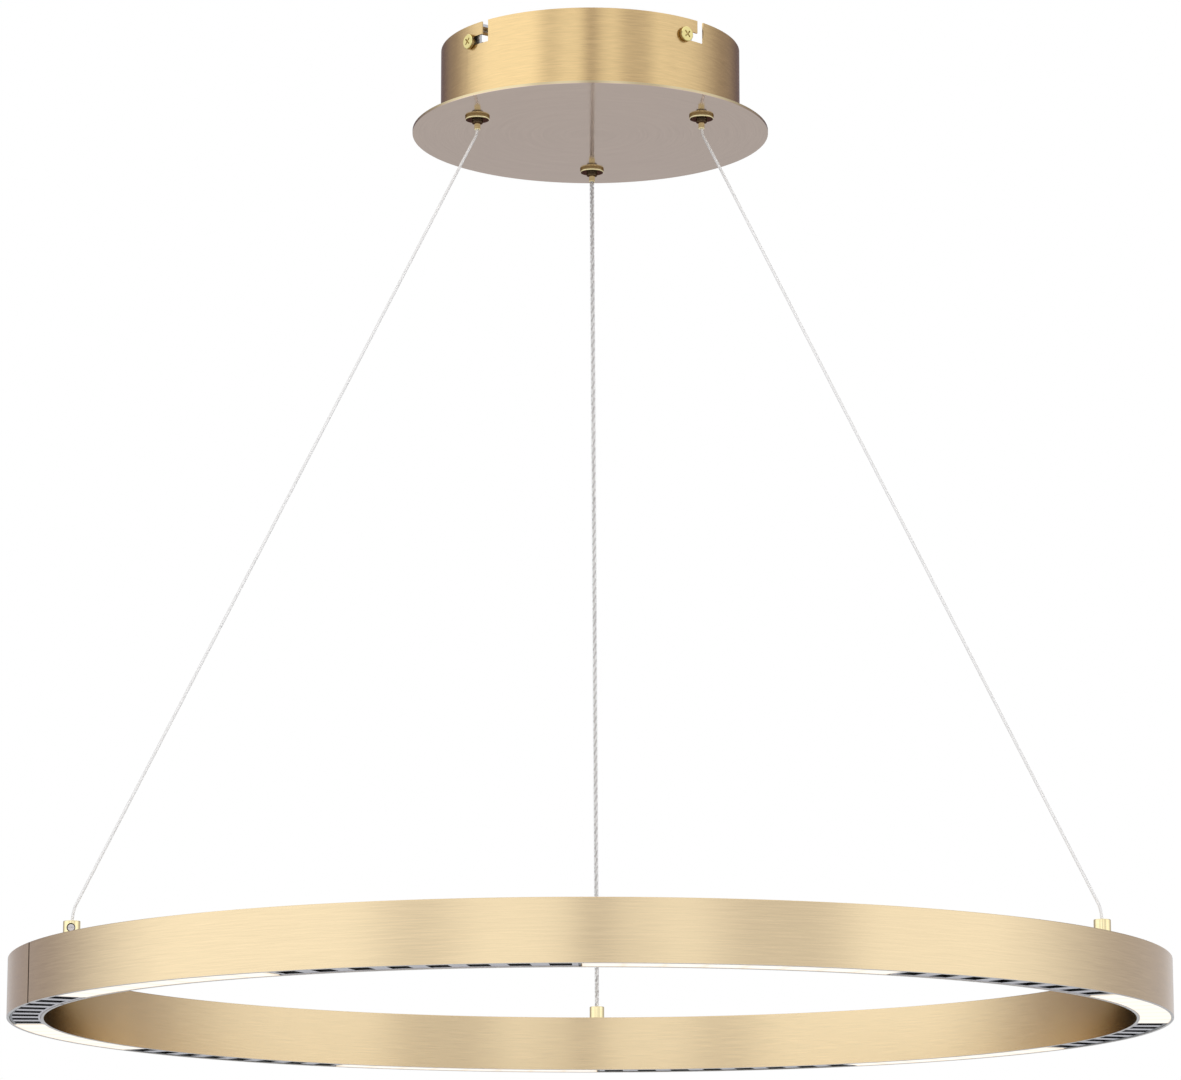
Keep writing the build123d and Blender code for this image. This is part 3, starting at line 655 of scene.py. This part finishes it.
def core_plastic(name, light, dark):
    """The insulation of one core, seen through the clear sheath."""
    material, shade = finish(name, {})
    wear = noise(shade, shade.node("TexCoord", output="Object"), 500.0)
    feed(material, {"Base Color": mixed(wear, dark, light), "Roughness": 0.3 + 0.1 * wear})
    return material


core_dark = core_plastic("dark_core", (0.74, 0.72, 0.71, 1), (0.66, 0.64, 0.63, 1))
core_light = core_plastic("tinned_core", (0.92, 0.91, 0.90, 1), (0.86, 0.85, 0.84, 1))


def smooth_line(points, resolution):
    """The points of a smooth curve drawn by a route's points."""
    curve = bpy.data.curves.new("route", "CURVE")
    curve.dimensions = "3D"
    curve.resolution_u = resolution
    spline = curve.splines.new("NURBS")
    spline.points.add(len(points) - 1)
    for point, place in zip(spline.points, points):
        point.co = (*place, 1)
    spline.order_u = 3
    spline.use_endpoint_u = True
    drawn = bpy.data.objects.new("route", curve)
    mesh = bpy.data.meshes.new_from_object(drawn)
    line = [v.co.copy() for v in mesh.vertices]
    bpy.data.objects.remove(drawn)
    bpy.data.meshes.remove(mesh)
    return line


def wound_tube(name, line, radius, material, sides=14, offset=0.0, lay=1.0, phase=0.0):
    """A tube along a line, or beside it in a helix, with its turn and distance kept as UV."""
    bm = bmesh.new()
    uv = bm.loops.layers.uv.new("wound")
    level = Vector((0, 0, 1)).cross(line[-1] - line[0]).normalized()
    rings, distance, places = [], 0.0, []
    for k, point in enumerate(line):
        ahead = (line[min(k + 1, len(line) - 1)] - line[max(k - 1, 0)]).normalized()
        side = (level - ahead * level.dot(ahead)).normalized()
        other = ahead.cross(side)
        distance += (point - line[k - 1]).length if k else 0.0
        turn = tau * distance / lay + phase
        middle = point + (side * cos(turn) + other * sin(turn)) * offset
        ring = []
        for n in range(sides):
            angle = tau * n / sides
            ring.append(bm.verts.new(middle + (side * cos(angle) + other * sin(angle)) * radius))
        rings.append(ring)
        places.append(distance)
    for k in range(len(rings) - 1):
        for n in range(sides):
            m = (n + 1) % sides
            face = bm.faces.new((rings[k][n], rings[k][m], rings[k + 1][m], rings[k + 1][n]))
            corners = ((n, k), (n + 1, k), (n + 1, k + 1), (n, k + 1))
            for loop, (turned, row) in zip(face.loops, corners):
                loop[uv].uv = (turned / sides, places[row])
    bm.faces.new(rings[0])
    bm.faces.new(reversed(rings[-1]))
    return piece(name, bm, [material], smooth_angle=60.0)


def twisted_cores(name, line):
    """The two cores of a clear cable, wound round each other."""
    return [
        wound_tube(f"{name}_core_dark", line, CORE_RADIUS, core_dark, CORE_SIDES,
                   CORE_OFFSET, CORE_LAY, 0.0),
        wound_tube(f"{name}_core_light", line, CORE_RADIUS, core_light, CORE_SIDES,
                   CORE_OFFSET, CORE_LAY, pi),
    ]


for side, radius in CABLE_RADIUS.items():
    bearing = BEARING[side]
    exit_bend = at(bearing, GRIP_RADIUS, EXIT_BEND)
    anchor_bend = at(bearing, ANCHOR_RADIUS, ANCHOR_BEND)
    run = (anchor_bend - exit_bend).normalized()
    exit_run = CABLE_TOP - EXIT_BEND
    anchor_run = ANCHOR_BEND - CABLE_END
    route = [
        at(bearing, GRIP_RADIUS, CABLE_TOP),
        exit_bend,
        exit_bend + run * exit_run,
        anchor_bend - run * anchor_run,
        anchor_bend,
        at(bearing, ANCHOR_RADIUS, CABLE_END),
    ]
    line = smooth_line(route, POWER_CABLE_STEPS if side == "rear" else STEEL_CABLE_STEPS)
    if side == "rear":
        cable = wound_tube("power_cable_sheath", line, radius, clear)
        parts = twisted_cores("power_cable", line)
    else:
        cable = wound_tube(f"steel_cable_{side}", line, radius, steel)
        parts = []
    for made in [cable, *parts]:
        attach(made, "canopy")
        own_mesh(made)
    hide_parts(f"cable_{side}")

tail_outline = ((plate_bottom, 1.0), (TAIL_TOP - TAIL_CHAMFER, 1.0), (TAIL_TOP, TAIL_END_SHARE))
bm = bmesh.new()
for side in ("left", "right"):
    foot = at(BEARING[side], GRIP_RADIUS, 0)
    sections = []
    for k in range(TAIL_SIDES):
        round_about = [foot + at(360 * k / TAIL_SIDES, CABLE_RADIUS[side] * share, level)
                       for level, share in tail_outline]
        ends = [foot + Vector((0, 0, level)) for level in (plate_bottom, TAIL_TOP)]
        sections.append([ends[0], *round_about, ends[1]])
    carried(bm, sections, closed=True)
bmesh.ops.remove_doubles(bm, verts=bm.verts, dist=WELD)
made = piece("steel_cable_tails", bm, [steel])
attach(made, "canopy")
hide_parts("cable_tails")

tail_low, tail_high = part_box("power_tail")
tail_level = tail_high.z - TAIL_SOLID_RADIUS
route = [
    at(BEARING["rear"], GRIP_RADIUS, plate_bottom + BARREL_HEIGHT - TAIL_START_DEPTH),
    at(BEARING["rear"], GRIP_RADIUS, tail_level),
    Vector((0, tail_low.y, tail_level)),
]
line = smooth_line(route, TAIL_STEPS)
tail = wound_tube("power_tail_sheath", line, CABLE_RADIUS["rear"], clear)
for core in twisted_cores("power_tail", line):
    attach(core, "canopy")
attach(tail, "canopy")
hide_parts("power_tail")


# --- Ring channel -----------------------------------------------------------------------------
# Aluminium channel rolled into a ring, joined by a fine seam at the left, brushed and coloured
# like brass. Its web carries the boards, and its open side faces down.
RING_WIDTH = 0.0255
RING_WALL = 0.002
WEB_HEIGHT = 0.024
WEB_THICKNESS = 0.0016
RING_EDGE = 0.0005
LIP_EDGE = 0.0003
RING_STEPS = 720
SEAM_BEARING = -67.0
SEAM_WIDTH = 0.0026
SEAM_DEPTH = 0.0005
SEAM_FLOOR_SHARE = 0.9
RING_COLOUR = (0.865, 0.68, 0.41)
RING_STREAKS = (0.14, 0.0006, 0.025)
OUTER_EDGE_TINT = (1, 1, 1, 1)
# The inner faces' dark edge tint is painted shade, so they mirror darker than the outer wall.
INNER_SHADE_TINT = (0.22, 0.18, 0.16, 1)

ring_metal = brushed_round("ring_brushed_brass", RING_COLOUR, RING_STREAKS, OUTER_EDGE_TINT)
inner_shaded_metal = brushed_round("ring_inner_brass_painted_shade", RING_COLOUR, RING_STREAKS, INNER_SHADE_TINT)

# The seam lies in its own shadow, and the lips' bottom edges are sawn after the coating.
seam_shadow, shade = finish("seam_shadow", {"Metallic": 0.3})
soot = noise(shade, shade.node("TexCoord", output="Object"), 700.0)
feed(seam_shadow, {
    "Base Color": mixed(soot, (0.050, 0.028, 0.016, 1), (0.085, 0.050, 0.030, 1)),
    "Roughness": 0.55 + 0.2 * soot,
})
sawn, shade = finish("sawn_aluminium", {"Metallic": 1.0})
saw_marks = noise(shade, shade.node("TexCoord", output="Object"), 900.0, 3.0)
feed(sawn, {
    "Base Color": mixed(saw_marks, (0.62, 0.59, 0.57, 1), (0.80, 0.78, 0.76, 1)),
    "Roughness": 0.35 + 0.15 * saw_marks,
})
ring_low, ring_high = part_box("ring_channel")
ring_outer = ring_high.x
ring_inner = ring_outer - RING_WIDTH
ring_middle = (ring_outer + ring_inner) / 2
ring_bottom, ring_top = ring_low.z, ring_high.z


def on_ring(outline, bearing):
    """A section outline, from the inner face and the bottom edge, set at a bearing."""
    return [at(bearing, ring_inner + across, ring_bottom + up) for across, up in outline]


height = ring_top - ring_bottom
far_wall = RING_WIDTH - RING_WALL
channel = rounded([
    (0, 0, LIP_EDGE),
    (0, height, RING_EDGE),
    (RING_WIDTH, height, RING_EDGE),
    (RING_WIDTH, 0, LIP_EDGE),
    (far_wall, 0, LIP_EDGE),
    (far_wall, WEB_HEIGHT, 0),
    (RING_WALL, WEB_HEIGHT, 0),
    (RING_WALL, 0, LIP_EDGE),
])
notched = [(min(across, RING_WIDTH - SEAM_DEPTH), up) for across, up in channel]
half_seam = SEAM_WIDTH / 2 / radians(1) / ring_outer  # in degrees
sections = []
for k in range(RING_STEPS):
    bearing = SEAM_BEARING + 360 * k / RING_STEPS
    if k == 0:
        sections.append(on_ring(notched, bearing - SEAM_FLOOR_SHARE * half_seam))
        sections.append(on_ring(notched, bearing + SEAM_FLOOR_SHARE * half_seam))
        sections.append(on_ring(channel, bearing + half_seam))
    else:
        sections.append(on_ring(channel, bearing))
sections.append(on_ring(channel, SEAM_BEARING - half_seam))
bm = bmesh.new()
carried(bm, sections, closed=True)
seam_towards = at(SEAM_BEARING, 1, 0).xy
# The inner metal, whose dark edge tint is painted shade, takes in the flat top as well as the inner
# wall.
mark(bm, 3, lambda c: c.xy.length < ring_middle)
mark(bm, 2, lambda c: c.z < ring_bottom + LIP_EDGE)
mark(bm, 1, lambda c: c.xy.angle(seam_towards) < radians(half_seam))
chamber = [
    (RING_WALL, WEB_HEIGHT + WEB_THICKNESS),
    (far_wall, WEB_HEIGHT + WEB_THICKNESS),
    (far_wall, height - RING_WALL),
    (RING_WALL, height - RING_WALL),
]
chamber_sections = [on_ring(chamber, 360 * k / RING_STEPS) for k in range(RING_STEPS)]
carried(bm, chamber_sections, closed=True)
made = piece("ring_shell", bm, [ring_metal, seam_shadow, sawn, inner_shaded_metal])
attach(made, "ring")
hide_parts("ring_channel")


# --- LED boards -------------------------------------------------------------------------------
# Curved boards with a white solder mask, screwed under the web, with a pale yellow LED package
# over each cell.
LED_HEIGHT = 0.0009
board_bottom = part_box("spot_boards")[0].z

board, shade = finish("board_and_leds", {})
place = shade.node("TexCoord", output="Object")
level = shade.node("SeparateXYZ", {}, {0: place}).output(2)
on_led = level.maths("LESS_THAN", level, board_bottom + LED_HEIGHT / 2)
mask = noise(shade, place, 240.0)
white = mixed(mask, (0.78, 0.78, 0.76, 1), (0.84, 0.84, 0.82, 1))
feed(board, {
    "Base Color": mixed(on_led, white, (0.78, 0.62, 0.16, 1)),
    "Roughness": 0.4 - 0.15 * on_led,
})
dress(board, "spot_boards", "ambient_boards")


# --- Cell louvres -----------------------------------------------------------------------------
# Dark moulded strips, each with eight curved funnels that narrow up to an LED. Satin metallised
# bars lie between the funnels' mouths.
# The strips' dark outer and end borders are painted shade, for the shadow line along the channel's lips.
STRIPS = 6
CELLS = 8
SEGMENT = 30.0
STRIP_END_GAP = 0.0005
STRIP_RECESS = 0.0004
STRIP_EDGE = 0.0022
LIP = 0.0006
MOUTH_EDGE = 0.0038
MOUTH_HALF = 0.0071
THROAT_HALF = 0.0035
FUNNEL_TOP = 0.021
FUNNEL_STEPS = 6
FUNNEL_CURVE = 1.5
MOUTH_ROW = 2
MOULDING = 0.0009
END_BORDER = 0.0019
BAR_RECESS = 0.0004

dark_moulding_and_shade, shade = finish("dark_reflector", {"Metallic": 0.4})
place = shade.node("TexCoord", output="Object")
grain = noise(shade, place, 900.0)
feed(dark_moulding_and_shade, {
    "Base Color": mixed(grain, (0.008, 0.008, 0.009, 1), (0.020, 0.019, 0.018, 1)),
    "Roughness": 0.22 + 0.1 * grain,
    "Normal": bumped(grain, 0.06, 0.00005),
})
bar_metal, shade = finish("satin_metallised_bar", {"Metallic": 0.85})
place = shade.node("TexCoord", output="Object")
grain = noise(shade, place, 1100.0)
feed(bar_metal, {
    "Base Color": mixed(grain, (0.60, 0.58, 0.61, 1), (0.76, 0.74, 0.77, 1)),
    "Roughness": 0.32 + 0.1 * grain,
    "Normal": bumped(grain, 0.08, 0.00005),
})

degree_length = radians(1) * ring_middle
half_strip = SEGMENT / 2 - STRIP_END_GAP / 2 / degree_length
cell = 2 * half_strip / CELLS
strip_outer = RING_WIDTH - STRIP_EDGE
rows = [STRIP_EDGE, STRIP_EDGE + LIP, MOUTH_EDGE, RING_WIDTH - MOUTH_EDGE,
        strip_outer - LIP, strip_outer]
bar_level = STRIP_RECESS + BAR_RECESS
levels = [STRIP_RECESS, STRIP_RECESS, bar_level, bar_level, STRIP_RECESS, STRIP_RECESS]
mouth_angle = MOUTH_HALF / degree_length

for k in range(STRIPS):
    middle = (2 * k - 0.5) * SEGMENT
    columns = [-half_strip, -half_strip + END_BORDER / degree_length]
    for n in range(CELLS):
        centre = -half_strip + (n + 0.5) * cell
        columns += [centre - mouth_angle, centre + mouth_angle]
    columns += [half_strip - END_BORDER / degree_length, half_strip]
    bm = bmesh.new()
    grid = [[bm.verts.new(on_ring([point], middle + column)[0]) for point in zip(rows, levels)]
            for column in columns]
    for c in range(len(columns) - 1):
        inside = 1 <= c <= len(columns) - 3
        opening = inside and c % 2 == 0
        for r in range(len(rows) - 1):
            if opening and r == MOUTH_ROW:
                continue
            face = bm.faces.new((grid[c][r], grid[c][r + 1], grid[c + 1][r + 1], grid[c + 1][r]))
            # The inner border and the bars get the metallised colour. The outer and end borders keep the
            # dark moulding as painted shade.
            face.material_index = int(inside and r <= MOUTH_ROW)
    for n in range(CELLS):
        c = 2 * n + 2
        centre = -half_strip + (n + 0.5) * cell
        loop = [grid[c][MOUTH_ROW], grid[c][MOUTH_ROW + 1],
                grid[c + 1][MOUTH_ROW + 1], grid[c + 1][MOUTH_ROW]]
        for step in range(1, FUNNEL_STEPS + 1):
            t = step / FUNNEL_STEPS
            narrowed = t**FUNNEL_CURVE
            up = bar_level + (FUNNEL_TOP - bar_level) * t
            half_across = (RING_WIDTH / 2 - MOUTH_EDGE) * (1 - narrowed) + THROAT_HALF * narrowed
            half_along = (MOUTH_HALF * (1 - narrowed) + THROAT_HALF * narrowed) / degree_length
            upper = []
            for a, b in ((-1, -1), (1, -1), (1, 1), (-1, 1)):
                point = (RING_WIDTH / 2 + a * half_across, up)
                upper.append(bm.verts.new(on_ring([point], middle + centre + b * half_along)[0]))
            for j in range(4):
                bm.faces.new((loop[j - 1], loop[j], upper[j], upper[j - 1]))
            loop = upper
    made = piece(f"louvre_moulding_{k + 1}", bm, [dark_moulding_and_shade, bar_metal], smooth_angle=30.0)
    wall = made.modifiers.new("moulding", "SOLIDIFY")
    wall.thickness = MOULDING
    wall.offset = -1.0
    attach(made, "ring")
    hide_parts(f"louvre_{k + 1}")


# --- Diffusers --------------------------------------------------------------------------------
# Frosted acrylic strips, pressed into the channel by lugs on their backs and lit from behind, with
# faint darker lines between the LEDs.
GLOW = (0.935, 0.875, 0.795)
GLOW_LINE = (0.86, 0.73, 0.56)
LINE_STRENGTH = 0.8
LINE_SHARPNESS = 5.0

frosted, shade = finish("frosted_diffuser", {"Emission Strength": 1.0, "Coat Weight": 0.0})
place = shade.node("TexCoord", output="Object")
x = shade.node("SeparateXYZ", {}, {0: place})
y = x.output(1)
bearing = x.maths("ARCTAN2", x, 0 - y) / radians(1)
along = bearing.maths("WRAP", bearing - SEGMENT / 2, SEGMENT, -SEGMENT) / cell
line_mask = along.maths("PINGPONG", along, 0.5) * 2
line_mask = line_mask.maths("POWER", 1 - line_mask, LINE_SHARPNESS)
feed(frosted, {
    "Base Color": mixed(noise(shade, place, 700.0), (0.10, 0.10, 0.10, 1), (0.14, 0.14, 0.14, 1)),
    "Roughness": 0.5 + 0.1 * noise(shade, place, 1500.0),
    "Emission Color": mixed(line_mask * LINE_STRENGTH, (*GLOW, 1), (*GLOW_LINE, 1)),
})
for k in range(STRIPS):
    dress(frosted, f"diffuser_{k + 1}")


# --- Cable anchors ----------------------------------------------------------------------------
# Turned brass anchors on the ring's top. A slotted grub screw in each one's side clamps its cable.
ANCHOR_OUTSIDE = 0.00575
ANCHOR_EDGE = 0.0006
ANCHOR_FOOT_EDGE = 0.0002
ANCHOR_MOUTH_ROUND = 0.0004
STUD_RADIUS = 0.003
STUD_LENGTH = 0.007
STUD_EDGE = 0.0004
GRUB_BEARING = {"left": 1.0, "right": 150.0, "rear": -60.0}
GRUB_HOLE_RADIUS = 0.0029
GRUB_HOLE_REACH = 0.008

grub_steel, shade = finish("bright_grub_screw", {"Metallic": 0.9})
scale = noise(shade, shade.node("TexCoord", output="Object"), 1200.0)
feed(grub_steel, {
    "Base Color": mixed(scale, (0.50, 0.46, 0.44, 1), (0.80, 0.76, 0.73, 1)),
    "Roughness": 0.25 + 0.15 * scale,
})
dress(grub_steel, "grub_screws")

for side, grub_bearing in GRUB_BEARING.items():
    low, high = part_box(f"cable_anchor_{side}")
    centre = (low + high) / 2
    bore = BORE_RADIUS[side]
    bm = bmesh.new()
    lathe(bm, rounded([
        (bore, ring_top - STUD_LENGTH, 0),
        (STUD_RADIUS, ring_top - STUD_LENGTH, STUD_EDGE),
        (STUD_RADIUS, ring_top, 0),
        (ANCHOR_OUTSIDE, ring_top, ANCHOR_FOOT_EDGE),
        (ANCHOR_OUTSIDE, high.z, ANCHOR_EDGE),
        (bore, high.z, ANCHOR_MOUTH_ROUND),
    ]))
    # The grub screw hole's cut faces get the near-black brass: painted shade in the hole.
    made = piece(f"anchor_{side}", bm, [brass, recess])
    hole = bmesh.new()
    lathe(hole, [
        (0, 0),
        (GRUB_HOLE_RADIUS, 0),
        (GRUB_HOLE_RADIUS, GRUB_HOLE_REACH),
        (0, GRUB_HOLE_REACH),
    ], steps=48)
    hole.transform(at(grub_bearing, 1, 0).to_track_quat("Z", "Y").to_matrix().to_4x4())
    hole.transform(Matrix.Translation((0, 0, (ring_top + high.z) / 2)))
    cut(made, hole)
    made.data.transform(Matrix.Translation((centre.x, centre.y, 0)))
    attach(made, "ring")
    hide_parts(f"cable_anchor_{side}")


# --- Studio -----------------------------------------------------------------------------------
# Pale floor well below the ring, three soft lamps, and a round screen that only shows in mirrored
# light. Past the floor the room is white.
FLOOR_LEVEL = -3.1
FLOOR_HALF = 40.0
FLOOR_LIFT = (0.36, 0.36, 0.36)
SCREEN_RADIUS = 5.0
SCREEN_LOW = -3.2
SCREEN_HIGH = 3.4
SCREEN_SIDES = 120
SCREEN_COLOUR = (1.16, 1.20, 1.28)
CARD_COLOUR = (0.05, 0.0, 0.03)
SKIRT_COLOUR = (0.63, 0.66, 0.70, 1)
SKIRT_LEVELS = (-1.15, -0.85)
HIGH_CARD_LEVELS = (0.4, 0.9)
LAMP_AIM = Vector((0, 0, -0.4))
# The white room lights the pieces with this share of what the camera and the metal see of it.
ROOM_FILL = 0.42
# Soft dark cards on the screen: bearing, half width and soft edge in degrees, how much each one
# dims, and whether it hangs high, where only the canopy mirrors it.
CARDS = (
    (1.5, 0.5, 5.0, 0.30, False),
    (6.0, 2.0, 12.0, 0.17, False),
    (-31.0, 1.0, 13.0, 0.25, False),
    (36.0, 5.0, 16.0, 0.33, False),
    (-136.0, 6.0, 50.0, 0.71, False),
    (134.0, 8.0, 52.0, 0.61, False),
    (180.0, 20.0, 30.0, 0.68, True),
    (100.0, 30.0, 60.0, 0.30, True),
    (1.0, 3.0, 8.0, 0.26, True),
    (6.0, 24.0, 24.0, 0.21, True),
)

floor_paint, shade = finish("pale_floor", {"Emission Strength": 1.0})
place = shade.node("TexCoord", output="Object")
seen = shade.node("LightPath", output="Is Camera Ray")
feed(floor_paint, {
    "Emission Color": mixed(seen, (0, 0, 0, 1), (*FLOOR_LIFT, 1)),
    "Base Color": mixed(noise(shade, place, 3.0), (0.86, 0.86, 0.86, 1), (0.90, 0.90, 0.90, 1)),
    "Roughness": 0.7 + 0.1 * noise(shade, place, 20.0),
})
bm = bmesh.new()
bmesh.ops.create_grid(bm, x_segments=8, y_segments=8, size=FLOOR_HALF)
bm.transform(Matrix.Translation((0, 0, FLOOR_LEVEL)))
floor = piece("floor", bm, [floor_paint])
floor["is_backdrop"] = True

screen_light, shade = finish("studio_screen", {
    "Base Color": (0, 0, 0, 1),
    "Roughness": 1.0,
    "Specular IOR Level": 0.0,
    "Emission Strength": 1.0,
})
place = shade.node("TexCoord", output="Object")
x = shade.node("SeparateXYZ", {}, {0: place})
y, z = x.output(1), x.output(2)
bearing = shade.maths("ARCTAN2", x, 0 - y) / radians(1)


def smooth_step(value, start, end, before, after):
    """A value's smooth change from one number to another."""
    ends = {"From Min": start, "From Max": end, "To Min": before, "To Max": after}
    return value.node("MapRange", {"interpolation_type": "SMOOTHSTEP"}, {"Value": value, **ends})


high_up = smooth_step(z, *HIGH_CARD_LEVELS, 0.0, 1.0)
open_share = 1.0
for middle, half_width, soft_edge, depth, only_high in CARDS:
    aside = shade.maths("ABSOLUTE", shade.maths("WRAP", bearing - middle, 180.0, -180.0))
    dark = smooth_step(aside, half_width, half_width + soft_edge, depth, 0.0)
    open_share = open_share * (1 - (dark * high_up if only_high else dark))
above_skirt = smooth_step(z, *SKIRT_LEVELS, 0.0, 1.0)
wall_light = mixed(open_share, (*CARD_COLOUR, 1), (*SCREEN_COLOUR, 1))
feed(screen_light, {"Emission Color": mixed(above_skirt, SKIRT_COLOUR, wall_light)})
bm = bmesh.new()
wall = [[bm.verts.new(at(360 * k / SCREEN_SIDES, SCREEN_RADIUS, level))
         for level in (SCREEN_LOW, SCREEN_HIGH)] for k in range(SCREEN_SIDES)]
for k in range(SCREEN_SIDES):
    bm.faces.new((wall[k - 1][0], wall[k][0], wall[k][1], wall[k - 1][1]))
screen = piece("studio_screen", bm, [screen_light])
for ray in ("camera", "diffuse", "shadow", "transmission", "volume_scatter"):
    setattr(screen, "visible_" + ray, False)
screen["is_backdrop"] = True


def soft_lamp(name, bearing, distance, level, size, power):
    """A square area lamp that points at the middle of the chandelier and isn't mirrored."""
    data = bpy.data.lights.new(name, "AREA")
    data.size = size
    data.energy = power
    lamp = bpy.data.objects.new(name, data)
    lamp.location = at(bearing, distance, level)
    aim = LAMP_AIM - lamp.location
    lamp.rotation_euler = aim.to_track_quat("-Z", "Y").to_euler()
    lamp.visible_glossy = False
    bpy.context.scene.collection.objects.link(lamp)


soft_lamp("left_lamp", bearing=-50.0, distance=3.6, level=1.3, size=2.2, power=85.0)
soft_lamp("right_lamp", bearing=60.0, distance=3.8, level=0.9, size=2.4, power=55.0)
soft_lamp("low_lamp", bearing=10.0, distance=3.4, level=-1.7, size=2.0, power=30.0)

world = bpy.data.worlds.new("white_room")
bpy.context.scene.world = world
world.use_nodes = True
background = world.node_tree.nodes["Background"]
shade = Shade(world.node_tree)
ray = shade.node("LightPath", output="Is Camera Ray")
seen = ray.maths("MAXIMUM", ray, ray.output("Is Glossy Ray"))
seen = seen.maths("MAXIMUM", seen, ray.output("Is Transmission Ray"))
strength = ROOM_FILL + (1 - ROOM_FILL) * seen
world.node_tree.links.new(strength.socket, background.inputs["Strength"])
background.inputs["Color"].default_value = (1, 1, 1, 1)

# Camera below the ring in front, looking up at it, as the photograph was taken.
CAMERA_DISTANCE = 3.253
CAMERA_ASIDE = -0.0047
CAMERA_BELOW_RING = 0.3027
CAMERA_ORBIT = 0.85
CAMERA_YAW = 0.086
CAMERA_PITCH = 11.287
CAMERA_LENS = 141.2
camera_data = bpy.data.cameras.new("camera")
camera_data.lens = CAMERA_LENS
camera_data.sensor_width = 36.0
camera_data.sensor_fit = "HORIZONTAL"
camera_data.clip_end = 60.0
camera = bpy.data.objects.new("camera", camera_data)
bpy.context.scene.collection.objects.link(camera)
orbit = Matrix.Rotation(radians(CAMERA_ORBIT), 4, "Z")
aim = Matrix.Rotation(radians(-CAMERA_YAW), 4, "Z") @ Matrix.Rotation(radians(90 + CAMERA_PITCH), 4, "X")
stand = Matrix.Translation((CAMERA_ASIDE, -CAMERA_DISTANCE, ring_bottom - CAMERA_BELOW_RING))
camera.matrix_world = orbit @ stand @ aim
bpy.context.scene.camera = camera
bpy.context.scene.view_settings.view_transform = "Standard"

low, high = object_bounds()
